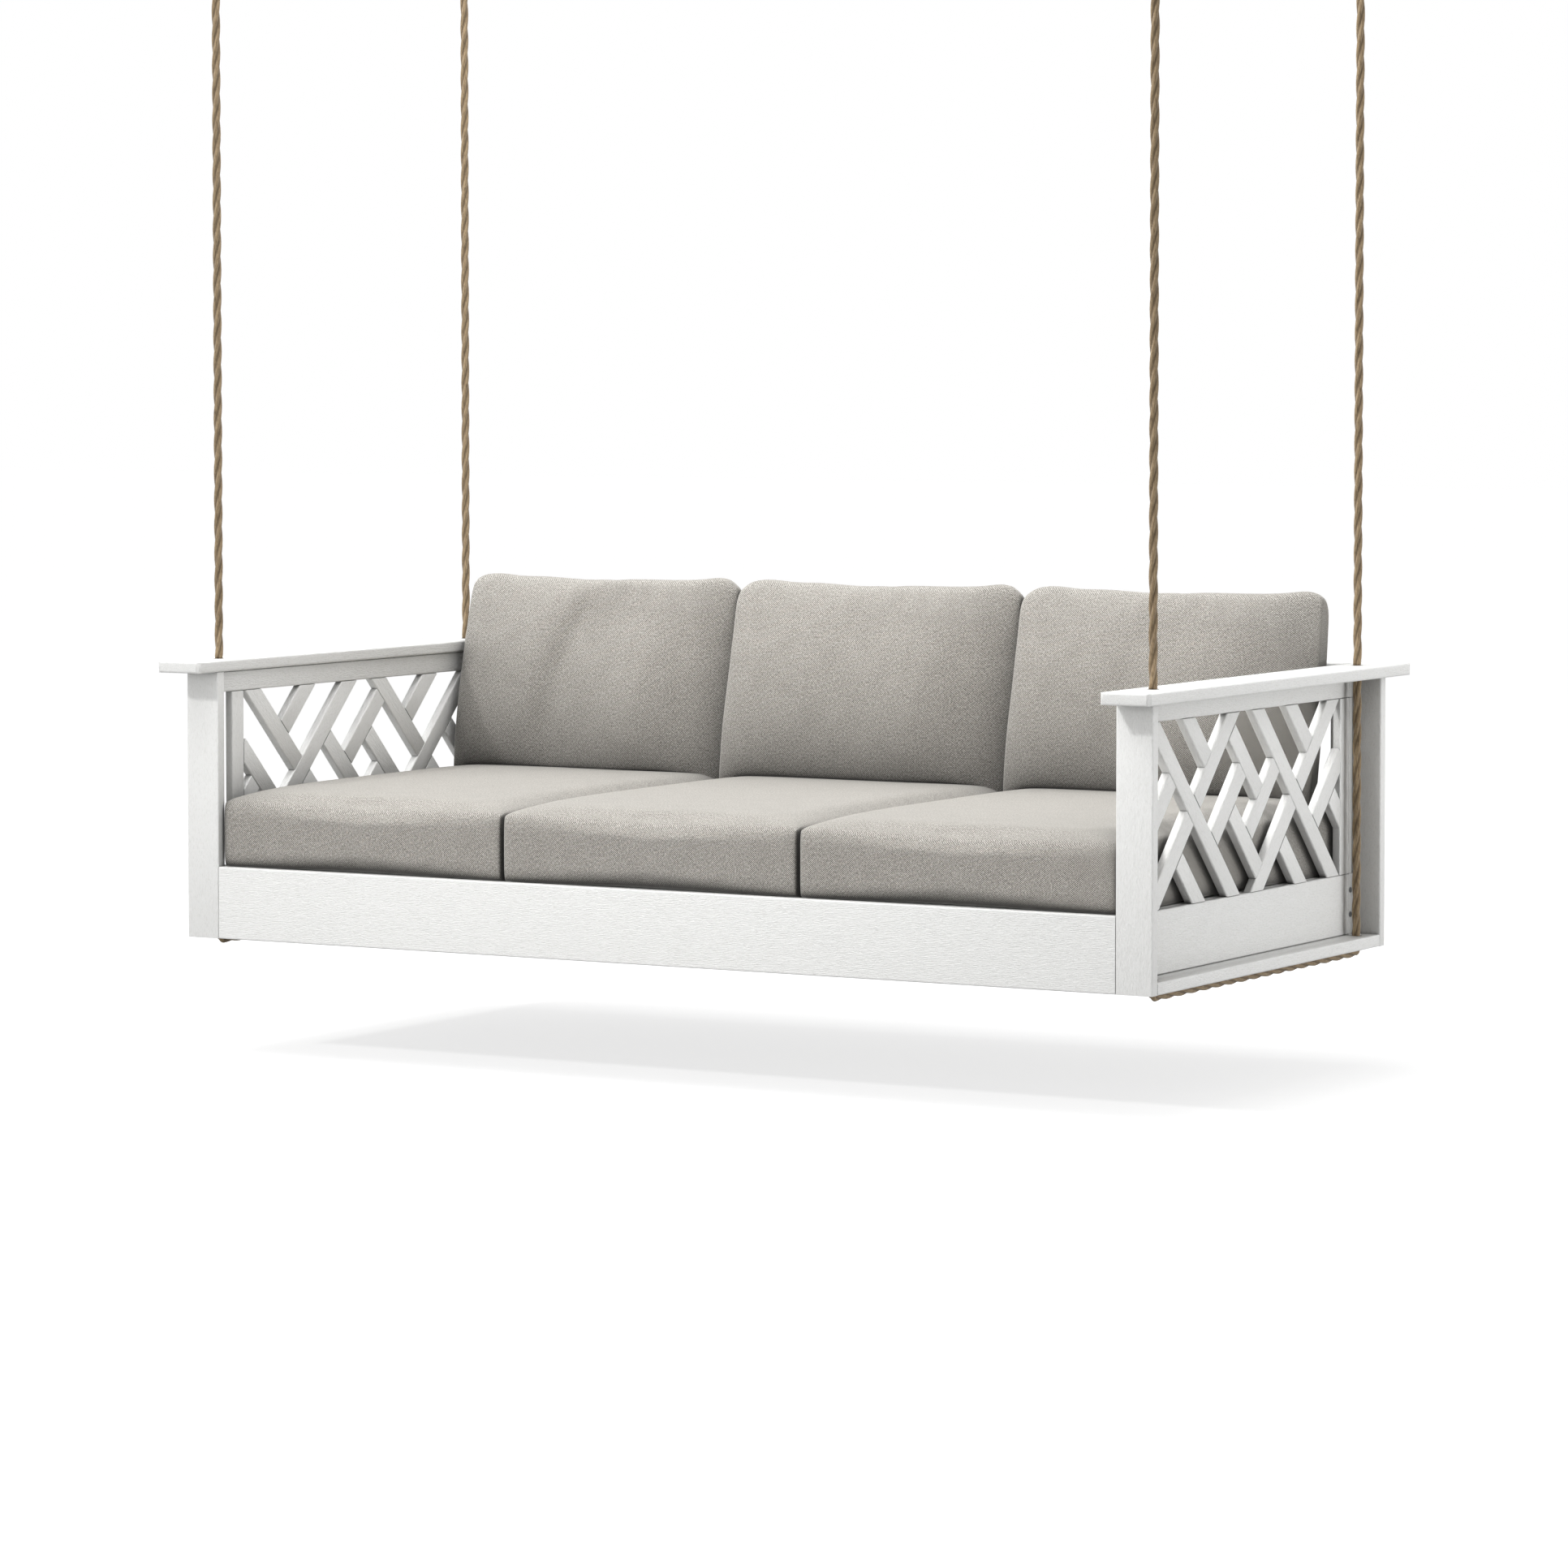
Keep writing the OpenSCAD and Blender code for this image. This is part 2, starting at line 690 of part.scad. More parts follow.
// link: tongue on the upper pin, fork on the lower pin
module link(c) {
    bridge_z = -link_l + eye_r + rope_r + yoke_gap;
    yoke_half = yoke_in + cheek_t;
    color(steel) at_corner(c) translate([0, 0, -upper_drop]) difference() {
        union() {
            translate([-tongue_t / 2, 0, 0]) rotate([180, 0, 0]) cheek(tongue_t, -bridge_z, ear_r);
            translate([-ear_r, -yoke_half, bridge_z]) cube([2 * ear_r, 2 * yoke_half, bridge_t]);
            for (y = [-yoke_half, yoke_in]) translate([0, y + cheek_t, -link_l])
                rotate([0, 0, -90]) cheek(cheek_t, link_l + bridge_z, ear_r);
        }
        translate([-ear_r, 0, 0]) rotate([0, 90, 0]) cylinder(h = 2 * ear_r, d = pin_d + 2 * pin_clear);
        translate([0, yoke_half + 1, -link_l]) rotate([90, 0, 0])
            cylinder(h = 2 * yoke_half + 2, d = pin_d + 2 * pin_clear);
    }
}

module link_pin(c) {
    color(dark_steel) at_corner(c) translate([0, 0, -lower_drop]) rotate([0, 0, 90])
        headed_pin(yoke_in + cheek_t);
}

hangers();
hanger_pins();
link(corners[0]);  // link_front_left
link(corners[1]);  // link_front_right
link(corners[2]);  // link_back_left
link(corners[3]);  // link_back_right
link_pin(corners[0]);  // link_pin_front_left
link_pin(corners[1]);  // link_pin_front_right
link_pin(corners[2]);  // link_pin_back_left
link_pin(corners[3]);  // link_pin_back_right
thimble(corners[0]);  // thimble_front_left
thimble(corners[1]);  // thimble_front_right
thimble(corners[2]);  // thimble_back_left
thimble(corners[3]);  // thimble_back_right
rope_eye(corners[0]);  // rope_eye_front_left
rope_eye(corners[1]);  // rope_eye_front_right
rope_eye(corners[2]);  // rope_eye_back_left
rope_eye(corners[3]);  // rope_eye_back_right
rope(corners[0]);  // rope_front_left
rope(corners[1]);  // rope_front_right
rope(corners[2]);  // rope_back_left
rope(corners[3]);  // rope_back_right
rope_bend(corners[0]);  // rope_bend_front_left
rope_bends();
sling_left();
sling_right();
post(corners[0]);  // post_front_left
post(corners[1]);  // post_front_right
post(corners[2]);  // post_back_left
post(corners[3]);  // post_back_right
arm_left();
arm_right();
back_cap();
cap_cleat();
side_top_rail_left();
side_top_rail_right();
side_lattice_left();
side_lattice_right();
back_top_rail();
back_lattice();
bottom_board_left();
bottom_board_right();
front_apron();
back_apron();
side_apron_left();
side_apron_right();
front_rail();
back_rail();
frame_blocks();
slat_cleats();
deck_beam();
seat_slats();
frame_screws();
seat_cushion(0);  // seat_cushion_left
seat_cushion(1);  // seat_cushion_middle
seat_cushion(2);  // seat_cushion_right
back_cushion(0);  // back_cushion_left
back_cushion(1);  // back_cushion_middle
back_cushion(2);  // back_cushion_right
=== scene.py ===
import json
import math

import bmesh
import bpy
from mathutils import Matrix, Vector
from mathutils.bvhtree import BVHTree


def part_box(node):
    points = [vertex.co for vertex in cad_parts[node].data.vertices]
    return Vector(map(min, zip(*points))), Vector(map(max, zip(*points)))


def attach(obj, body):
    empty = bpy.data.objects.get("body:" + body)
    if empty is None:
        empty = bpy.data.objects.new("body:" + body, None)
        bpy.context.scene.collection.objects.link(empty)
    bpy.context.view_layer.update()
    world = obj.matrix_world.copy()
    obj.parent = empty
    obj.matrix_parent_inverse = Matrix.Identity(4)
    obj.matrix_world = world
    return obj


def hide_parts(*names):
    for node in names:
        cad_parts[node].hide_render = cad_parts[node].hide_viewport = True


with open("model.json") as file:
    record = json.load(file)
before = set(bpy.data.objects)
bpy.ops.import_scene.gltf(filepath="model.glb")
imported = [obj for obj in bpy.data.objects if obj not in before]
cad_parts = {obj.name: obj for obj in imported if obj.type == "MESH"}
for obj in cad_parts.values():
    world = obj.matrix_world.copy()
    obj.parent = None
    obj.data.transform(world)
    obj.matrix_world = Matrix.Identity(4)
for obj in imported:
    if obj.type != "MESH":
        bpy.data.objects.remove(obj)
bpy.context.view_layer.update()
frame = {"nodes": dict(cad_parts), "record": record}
mm = 0.001
cornerSigns = {"front_left": (-1, -1), "front_right": (1, -1), "back_left": (-1, 1), "back_right": (1, 1)}


def linear(hexColour):
    # an sRGB hex value as the linear colour that a socket takes
    channels = [int(hexColour[i:i + 2], 16) / 255 for i in (1, 3, 5)]
    return [c / 12.92 if c <= 0.04045 else ((c + 0.055) / 1.055) ** 2.4 for c in channels] + [1.0]


def grey(value):
    return [value, value, value, 1.0]


def addNode(tree, kind, settings=None, links=None):
    # a setting is a property of the node, the stops of its ramp, or the value of a socket
    node = tree.nodes.new(kind)
    for key, value in (settings or {}).items():
        if key == "stops":
            elements = node.color_ramp.elements
            while len(elements) < len(value):
                elements.new(0.5)
            for element, (place, colour) in zip(elements, value):
                element.position = place
                element.color = colour
        elif isinstance(key, str) and hasattr(node, key):
            setattr(node, key, value)
        else:
            node.inputs[key].default_value = value
    for key, source in (links or {}).items():
        tree.links.new(source, node.inputs[key])
    return node


def newMaterial(name):
    material = bpy.data.materials.new(name)
    material.use_nodes = True
    material.node_tree.nodes.clear()
    return material, material.node_tree


def paintNookShade(tree, colour, nookShade, samples):
    # painted shade: the colour is darkened where other pieces are near; a nook says how far it looks, the
    # openness where it is darkest and where it ends, and the share of the colour that is left
    for reach, low, high, least in nookShade:
        nook = addNode(tree, "ShaderNodeAmbientOcclusion", {"samples": samples, "Distance": reach})
        lit = addNode(tree, "ShaderNodeMapRange", {"From Min": low, "From Max": high, "To Min": least},
                      {"Value": nook.outputs["AO"]})
        colour = addNode(tree, "ShaderNodeVectorMath", {"operation": "SCALE"},
                         {0: colour, "Scale": lit.outputs["Result"]}).outputs["Vector"]
    return colour


def newPiece(name, bm, material, body, smoothAngle=None):
    mesh = bpy.data.meshes.new(name)
    bm.to_mesh(mesh)
    bm.free()
    mesh.materials.append(material)
    piece = bpy.data.objects.new(name, mesh)
    bpy.context.scene.collection.objects.link(piece)
    for polygon in mesh.polygons:
        polygon.use_smooth = True
    if smoothAngle:
        mesh.set_sharp_from_angle(angle=math.radians(smoothAngle))
    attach(piece, body)
    return piece


def middle(node):
    low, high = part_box(node)
    return (Vector(low) + Vector(high)) / 2


# nearly level, from the front right, with a long lens
camera = {
    "place": (5.2648, -9.1751, -0.9828),
    "turn": 29.828,   # degrees to the left
    "tilt": 2.81,     # degrees down
    "lens": 131.61,   # millimetres
    "shift": -0.10,   # the frame is taken a little lower than the lens looks
}


def makeCamera():
    data = bpy.data.cameras.new("camera")
    data.lens = camera["lens"]
    data.shift_y = camera["shift"]
    data.clip_end = 100
    item = bpy.data.objects.new("camera", data)
    item.location = camera["place"]
    item.rotation_euler = (math.radians(90 - camera["tilt"]), 0, math.radians(camera["turn"]))
    bpy.context.scene.collection.objects.link(item)
    bpy.context.scene.camera = item


makeCamera()
print("camera placed")


# three-strand rope, laid up to the right, held taut by the bed
rope = {
    "diameter": 16 * mm,
    "strands": 3,
    "lay": 151 * mm,        # one whole turn of a strand
    "strandOffset": 0.44,   # middle of a strand, as a share of the rope's radius
    "facets": 8,            # across one strand
    "step": 4 * mm,         # from one ring to the next
    "bend": 9.5 * mm,       # radius of its turn under the side
    "bendSteps": 8,
    "inSplice": 40 * mm,    # it runs on inside its splice by this much
    "thinner": 0.24,        # and loses this share of its thickness there
    "neck": 9 * mm,         # half the stretch that bends in an arm hole
    "neckThin": 0.985,      # which stays just inside the rope on both sides of it
    "tan": "#978265",
    "light": "#BBA685",
    "dark": "#574835",
    "fibre": 0.45 * mm,
    "drawnOut": 0.07,       # a fibre's thickness to its length
    "slubs": 6.25 * mm,     # from one thick place of the yarn to the next
    "relief": 0.5 * mm,
}


def ropeMaterial():
    # spun polypropylene rope: dull fibres with a faint shine, and painted shade down in the lay
    material, tree = newMaterial("spunRope")
    place = addNode(tree, "ShaderNodeAttribute", {"attribute_name": "fibre"}).outputs["Vector"]
    groove = addNode(tree, "ShaderNodeAttribute", {"attribute_name": "groove"}).outputs["Fac"]
    drawn = addNode(tree, "ShaderNodeVectorMath", {"operation": "MULTIPLY", 1: (1, 1, rope["drawnOut"])},
                    {0: place}).outputs["Vector"]
    fine = addNode(tree, "ShaderNodeTexNoise",
                   {"Scale": 0.5 / rope["fibre"], "Detail": 4.0, "Roughness": 0.65},
                   {"Vector": drawn}).outputs["Fac"]
    broad = addNode(tree, "ShaderNodeTexNoise", {"Scale": 1 / rope["slubs"], "Detail": 2.0},
                    {"Vector": place}).outputs["Fac"]
    stops = [(0.32, linear(rope["dark"])), (0.5, linear(rope["tan"])), (0.7, linear(rope["light"]))]
    streaks = addNode(tree, "ShaderNodeValToRGB", {"stops": stops}, {"Fac": fine}).outputs["Color"]
    # painted shade: the colour darkens towards the bottom of the grooves between the strands
    shade = addNode(tree, "ShaderNodeMapRange",
                    {"From Min": 0.45, "From Max": 1.0, "To Min": 0.0, "To Max": 0.75},
                    {"Value": groove}).outputs["Result"]
    grooveShaded = addNode(tree, "ShaderNodeMix", {"data_type": "RGBA", "B": linear(rope["dark"])},
                   {"Factor": shade, "A": streaks}).outputs["Result"]
    tone = addNode(tree, "ShaderNodeMapRange", {"To Min": 0.88, "To Max": 1.12},
                   {"Value": broad}).outputs["Result"]
    colour = addNode(tree, "ShaderNodeVectorMath", {"operation": "SCALE"}, {0: grooveShaded, "Scale": tone})
    bump = addNode(tree, "ShaderNodeBump", {"Strength": 0.7, "Distance": rope["relief"]}, {"Height": fine})
    shader = addNode(tree, "ShaderNodeBsdfPrincipled",
                     {"Roughness": 0.78, "Specular IOR Level": 0.3, "Sheen Weight": 0.25,
                      "Sheen Roughness": 0.5},
                     {"Base Color": colour.outputs["Vector"], "Normal": bump.outputs["Normal"]})
    addNode(tree, "ShaderNodeOutputMaterial", links={"Surface": shader.outputs["BSDF"]})
    return material


def strandRadius(angle):
    # how far the strands reach at that angle, and how deep in the groove between two it is
    across = 2 * math.pi / rope["strands"]
    local = (angle + across / 2) % across - across / 2
    offset = rope["strandOffset"]
    reach = offset * math.cos(local) + math.sqrt((1 - offset) ** 2 - (offset * math.sin(local)) ** 2)
    return reach, abs(local) / (across / 2)


def layRope(bm, stations, radius=None, lay=None, startAngle=0.0):
    # stations are (point, length so far); the ring turns with the lay and follows the line
    radius = radius or (lambda s: rope["diameter"] / 2)
    lay = lay or rope["lay"]
    count = rope["strands"] * rope["facets"]
    fibre = bm.verts.layers.float_vector.get("fibre") or bm.verts.layers.float_vector.new("fibre")
    groove = bm.verts.layers.float.get("groove") or bm.verts.layers.float.new("groove")
    points = [Vector(p) for p, s in stations]
    side = None
    rings = []
    for i, (point, s) in enumerate(stations):
        along = (points[min(i + 1, len(points) - 1)] - points[max(i - 1, 0)]).normalized()
        if side is None:
            side = along.orthogonal().normalized() if abs(along.x) > 0.9 else Vector((1, 0, 0))
        side = (side - along * side.dot(along)).normalized()
        other = along.cross(side)
        turn = startAngle + 2 * math.pi * s / lay
        ring = []
        for k in range(count):
            angle = 2 * math.pi * k / count
            reach, depth = strandRadius(angle)
            out = side * math.cos(angle + turn) + other * math.sin(angle + turn)
            vert = bm.verts.new(points[i] + out * reach * radius(s))
            vert[fibre] = (math.cos(angle + turn) * rope["diameter"] / 2,
                           math.sin(angle + turn) * rope["diameter"] / 2, s)
            vert[groove] = depth
            ring.append(vert)
        rings.append(ring)
    for a, b in zip(rings, rings[1:]):
        for k in range(count):
            n = (k + 1) % count
            bm.faces.new((a[k], a[n], b[n], b[k]))
    bm.faces.new(rings[0][::-1])
    bm.faces.new(rings[-1])


def walk(corners, step):
    # even steps along straight stretches between the given points
    stations = [(Vector(corners[0]), 0.0)]
    for a, b in zip(corners, corners[1:]):
        a, b = Vector(a), Vector(b)
        count = max(1, round((b - a).length / step))
        start = stations[-1][1]
        for i in range(1, count + 1):
            stations.append((a.lerp(b, i / count), start + (b - a).length * i / count))
    return stations


spunRope = ropeMaterial()
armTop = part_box("arm_right")[1][2]
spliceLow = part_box("rope_eye_front_right")[0][2]
ropeTop = spliceLow + rope["inSplice"]
ropeX = middle("rope_front_right").x
ropeY = -middle("rope_front_right").y


def ropeSide(x):
    # one length of rope: down at the front, under the side and up at the back
    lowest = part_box("sling_right")[0][2] + rope["diameter"] / 2
    bend = rope["bend"]
    line = [(x, -ropeY, ropeTop), (x, -ropeY, armTop), (x, -ropeY, lowest + bend)]
    stations = walk(line, rope["step"])
    for end in (-1, 1):
        start = stations[-1][1]
        for i in range(1, rope["bendSteps"] + 1):
            a = math.pi / 2 * i / rope["bendSteps"]
            if end < 0:
                p = Vector((x, -ropeY + bend - bend * math.cos(a), lowest + bend - bend * math.sin(a)))
            else:
                p = Vector((x, ropeY - bend + bend * math.sin(a), lowest + bend - bend * math.cos(a)))
            stations.append((p, start + bend * a))
        if end < 0:
            more = walk([stations[-1][0], (x, ropeY - bend, lowest)], rope["step"])
        else:
            more = walk([stations[-1][0], (x, ropeY, armTop), (x, ropeY, ropeTop)], rope["step"])
        base = stations[-1][1]
        stations += [(p, base + s) for p, s in more[1:]]
    return stations


def part(stations, low, high):
    slack = 0.1 * mm
    return [(p, s) for p, s in stations if low - slack <= s <= high + slack]


def makeRopes():
    length = ropeTop - armTop
    for side, x in (("left", -ropeX), ("right", ropeX)):
        stations = ropeSide(x)
        total = stations[-1][1]

        def thick(s):
            # thinner where the splice covers it, within the splice's first quarter
            covered = max(0.0, 1 - min(s, total - s) / rope["inSplice"])
            return rope["diameter"] / 2 * (1 - rope["thinner"] * min(1.0, 4 * covered))

        spans = {"front_" + side: (0, length), "back_" + side: (total - length, total)}
        for corner, (low, high) in spans.items():
            own = part(stations, low, high)
            bm = bmesh.new()
            layRope(bm, own, radius=thick)
            bmesh.ops.recalc_face_normals(bm, faces=bm.faces)
            piece = newPiece("rope_" + corner + "_laid", bm, spunRope, "rope_" + corner)
            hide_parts("rope_" + corner)
            ropeEye(corner)
        under = part(stations, length + 1 * mm, total - length - 1 * mm)
        bm = bmesh.new()
        layRope(bm, under)
        bmesh.ops.recalc_face_normals(bm, faces=bm.faces)
        piece = newPiece("sling_" + side + "_laid", bm, spunRope, "bed")
        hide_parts("sling_" + side)
        necks = [("front_" + side, length), ("back_" + side, total - length)]
        for corner, s in necks:
            neckStations[corner] = part(stations, s - rope["neck"], s + rope["neck"])


splice = {
    "topDiameter": 22 * mm,
    "tuck": 26 * mm,          # from one tucked strand to the next
    "tuckDepth": 0.5 * mm,
    "lays": (-90 * mm, 75 * mm),   # the tucked strands wind round against the rope's own lay, and with it
    "legGap": 4.2 * mm,       # half the distance between the two legs of the eye where they join
    "legLength": 46 * mm,     # from the foot of the eye
    "shoulder": (9 * mm, 14 * mm),   # where a leg leaves the thimble: to the side, below the foot of the eye
    "throat": 6 * mm,         # the splice ends this much below the foot of the eye
    "close": (14 * mm, 0.35),   # and draws in over this length, by this share
    "foot": 1.05,             # thickness where it starts, as a share of the rope's
    "grow": 20 * mm,          # its full thickness is reached this much before its end
    "startAngle": 0.4,        # so that its strands don't lie in line with the tucked ones
    "eyeSteps": 40,
    "twine": 1.3 * mm,
    "twineReach": 1.02,       # where it lies, as a share of the rope's radius
    "twinePitch": 1.02,       # from turn to turn, as a share of its own thickness
    "twineLift": 3 * mm,      # its first turn is this much above the splice's end
    "twineTurns": 9,
    "twineSides": 20,         # steps in one turn
}
neckStations = {}


def ropeEye(corner):
    # the rope's end turned round the thimble, tucked back into itself and whipped with twine
    sx, sy = cornerSigns[corner]
    low, high = (Vector(v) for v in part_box("rope_eye_" + corner))
    radius = rope["diameter"] / 2
    eye = (high.x - low.x) / 2 - radius
    centre = Vector((sx * ropeX, sy * ropeY, high.z - radius - eye))
    foot = centre.z - eye
    out, drop = splice["shoulder"]
    legs = []
    for way in (-1, 1):
        end = Vector((centre.x + way * splice["legGap"], centre.y, foot - splice["legLength"]))
        legs.append([end, Vector((centre.x + way * out, centre.y, foot - drop))])
    line = legs[0]
    for i in range(splice["eyeSteps"] + 1):
        a = math.radians(225 - 270 * i / splice["eyeSteps"])   # three quarters of a turn
        line.append(centre + Vector((eye * math.cos(a), 0, eye * math.sin(a))))
    line += legs[1][::-1]
    bm = bmesh.new()
    layRope(bm, smoothLine(line, 3 * mm))
    start, end = low.z - 1 * mm, foot - splice["throat"]
    spliceLine = walk([(centre.x, centre.y, start), (centre.x, centre.y, end)], 2 * mm)
    span = spliceLine[-1][1]

    def thick(s):
        grow = min(1.0, s / (span - splice["grow"]))
        base = radius * splice["foot"] + (splice["topDiameter"] / 2 - radius) * grow
        close = max(0.0, (s - span) / splice["close"][0] + 1)
        tucks = splice["tuckDepth"] * math.sin(2 * math.pi * s / splice["tuck"])
        return (base + tucks) * (1 - splice["close"][1] * close ** 2)

    layRope(bm, spliceLine, radius=thick, lay=splice["lays"][0], startAngle=splice["startAngle"])
    layRope(bm, spliceLine, radius=thick, lay=splice["lays"][1])
    sides = splice["twineSides"]
    reach = radius * splice["twineReach"] + splice["twine"] / 2
    pitch = splice["twine"] * splice["twinePitch"]
    wrap = []
    for i in range(splice["twineTurns"] * sides + 1):
        a = 2 * math.pi * i / sides
        wrap.append((centre.x + reach * math.cos(a), centre.y + reach * math.sin(a),
                     low.z + splice["twineLift"] + pitch * i / sides))
    tube(bm, wrap, splice["twine"] / 2, 6)
    bmesh.ops.recalc_face_normals(bm, faces=bm.faces)
    piece = newPiece("splice_" + corner, bm, spunRope, "rope_" + corner)
    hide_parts("rope_eye_" + corner)
    return piece


def smoothLine(corners, step):
    # a curve through the given points, walked in even steps
    points = []
    for i in range(len(corners) - 1):
        p0, p1 = corners[max(i - 1, 0)], corners[i]
        p2, p3 = corners[i + 1], corners[min(i + 2, len(corners) - 1)]
        for k in range(4):
            t = k / 4
            points.append(0.5 * ((2 * p1) + (p2 - p0) * t + (2 * p0 - 5 * p1 + 4 * p2 - p3) * t * t
                                 + (3 * p1 - p0 - 3 * p2 + p3) * t ** 3))
    points.append(corners[-1])
    return walk(points, step)


def tube(bm, points, radius, sides):
    # a thin cord along the points, on the same attributes as the rope
    points = [Vector(p) for p in points]
    fibre = bm.verts.layers.float_vector.get("fibre")
    groove = bm.verts.layers.float.get("groove")
    rings = []
    for i, point in enumerate(points):
        along = (points[min(i + 1, len(points) - 1)] - points[max(i - 1, 0)]).normalized()
        up = Vector((0, 0, 1)) if abs(along.z) < 0.9 else Vector((1, 0, 0))
        side = along.cross(up).normalized()
        other = along.cross(side)
        ring = []
        for k in range(sides):
            a = 2 * math.pi * k / sides
            vert = bm.verts.new(point + (side * math.cos(a) + other * math.sin(a)) * radius)
            vert[fibre] = (i * mm, a * radius, 0)
            vert[groove] = 0.75   # twine is darker than the rope's own strands
            ring.append(vert)
        rings.append(ring)
    for a, b in zip(rings, rings[1:]):
        for k in range(sides):
            n = (k + 1) % sides
            bm.faces.new((a[k], a[n], b[n], b[k]))
    bm.faces.new(rings[0][::-1])
    bm.faces.new(rings[-1])


def makeNecks():
    # the short bend of each rope in its arm hole; the hanging rope turns about its middle
    others = ["front_right", "back_left", "back_right"]
    for name, corners, body, node in (("neckFrontLeft", ["front_left"], "neck", "rope_bend_front_left"),
                                      ("neckOthers", others, "bed", "rope_bends")):
        bm = bmesh.new()
        for corner in corners:
            layRope(bm, neckStations[corner], radius=lambda s: rope["diameter"] / 2 * rope["neckThin"])
        bmesh.ops.recalc_face_normals(bm, faces=bm.faces)
        piece = newPiece(name, bm, spunRope, body)
        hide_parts(node)


makeRopes()
makeNecks()
print("ropes laid")


# white boards: recycled polyethylene lumber with a pressed wood grain
lumber = {
    "white": "#F6F6F4",
    "shade": "#EDEDEA",
    "grainWidth": 0.85 * mm,
    "grainStretch": 5.0,     # a pore's length to its width
    "grainDepth": 0.45 * mm,
    "grainLine": 3.1 * mm,   # from one pressed line to the next
    "lineWander": 14.0,      # radians by which a line strays
    "lineShare": 0.22,       # how deep the lines are against the pores
    "coarseShare": 0.35,
    # painted shade where boards meet, and where one stands over another
    "nookShade": [(9 * mm, 0.2, 0.75, 0.4), (85 * mm, 0.25, 0.9, 0.68)],
    "ease": 0.9 * mm,        # eased edges at the sawn ends
    "sharpFrom": 40,         # degrees between two faces whose edge is eased
}


def lumberMaterial():
    # high-density polyethylene, extruded and embossed: satin, slightly waxy, with a fine broken grain
    material, tree = newMaterial("polyethyleneLumber")
    place = addNode(tree, "ShaderNodeAttribute", {"attribute_name": "grain"}).outputs["Vector"]
    drawn = addNode(tree, "ShaderNodeVectorMath",
                    {"operation": "MULTIPLY", 1: (1 / lumber["grainStretch"], 1, 1)},
                    {0: place}).outputs["Vector"]
    fine = addNode(tree, "ShaderNodeTexNoise",
                   {"Scale": 0.5 / lumber["grainWidth"], "Detail": 3.0, "Roughness": 0.55, "Distortion": 0.6},
                   {"Vector": drawn}).outputs["Fac"]
    coarse = addNode(tree, "ShaderNodeTexNoise",
                     {"Scale": 0.1 / lumber["grainWidth"], "Detail": 2.0, "Distortion": 1.2},
                     {"Vector": drawn}).outputs["Fac"]
    pores = addNode(tree, "ShaderNodeMapRange", {"From Min": 0.36, "From Max": 0.66},
                    {"Value": fine}).outputs["Result"]
    split = addNode(tree, "ShaderNodeSeparateXYZ", links={"Vector": place})
    over = addNode(tree, "ShaderNodeMath", {"operation": "ADD"},
                   {0: split.outputs["Y"], 1: split.outputs["Z"]}).outputs["Value"]
    turned = addNode(tree, "ShaderNodeMath", {"operation": "MULTIPLY", 1: 2 * math.pi / lumber["grainLine"]},
                     {0: over}).outputs["Value"]
    phase = addNode(tree, "ShaderNodeMath", {"operation": "MULTIPLY_ADD", 1: lumber["lineWander"]},
                    {0: coarse, 2: turned}).outputs["Value"]
    line = addNode(tree, "ShaderNodeMath", {"operation": "SINE"}, {0: phase}).outputs["Value"]
    lined = addNode(tree, "ShaderNodeMath", {"operation": "MULTIPLY_ADD", 1: lumber["lineShare"]},
                    {0: line, 2: pores}).outputs["Value"]
    height = addNode(tree, "ShaderNodeMath", {"operation": "MULTIPLY_ADD", 1: lumber["coarseShare"]},
                     {0: coarse, 2: lined}).outputs["Value"]
    stops = [(0.0, linear(lumber["shade"])), (0.3, linear(lumber["white"]))]
    tone = addNode(tree, "ShaderNodeValToRGB", {"stops": stops}, {"Fac": pores}).outputs["Color"]
    # painted shade: the grain's colour is darkened in the nooks between boards
    colour = paintNookShade(tree, tone, lumber["nookShade"], 4)
    bump = addNode(tree, "ShaderNodeBump", {"Strength": 1.0, "Distance": lumber["grainDepth"]},
                   {"Height": height}).outputs["Normal"]
    rough = addNode(tree, "ShaderNodeMapRange", {"To Min": 0.36, "To Max": 0.5},
                    {"Value": fine}).outputs["Result"]
    shader = addNode(tree, "ShaderNodeBsdfPrincipled", {"IOR": 1.54, "Specular IOR Level": 0.6},
                     {"Base Color": colour, "Roughness": rough, "Normal": bump})
    addNode(tree, "ShaderNodeOutputMaterial", links={"Surface": shader.outputs["BSDF"]})
    return material


def islands(bm):
    # the loose boards of one mesh, one after another
    seen = set()
    for first in bm.verts:
        if first in seen:
            continue
        seen.add(first)
        group, queue = [first], [first]
        while queue:
            for edge in queue.pop().link_edges:
                for vert in edge.verts:
                    if vert not in seen:
                        seen.add(vert)
                        group.append(vert)
                        queue.append(vert)
        yield group


diagonal = math.sqrt(0.5)


def grainAxes(slope):
    # candidate directions of a board, straight and, in a lattice, slanting
    straight = [Vector((1, 0, 0)), Vector((0, 1, 0)), Vector((0, 0, 1))]
    if slope == "side":
        return straight[1:] + [Vector((0, diagonal, diagonal)), Vector((0, diagonal, -diagonal))]
    if slope == "back":
        return [straight[0], straight[2], Vector((diagonal, 0, diagonal)), Vector((diagonal, 0, -diagonal))]
    return straight


def spread(verts, axis):
    # how long the board is in that direction
    reach = [v.co.dot(axis) for v in verts]
    return max(reach) - min(reach)


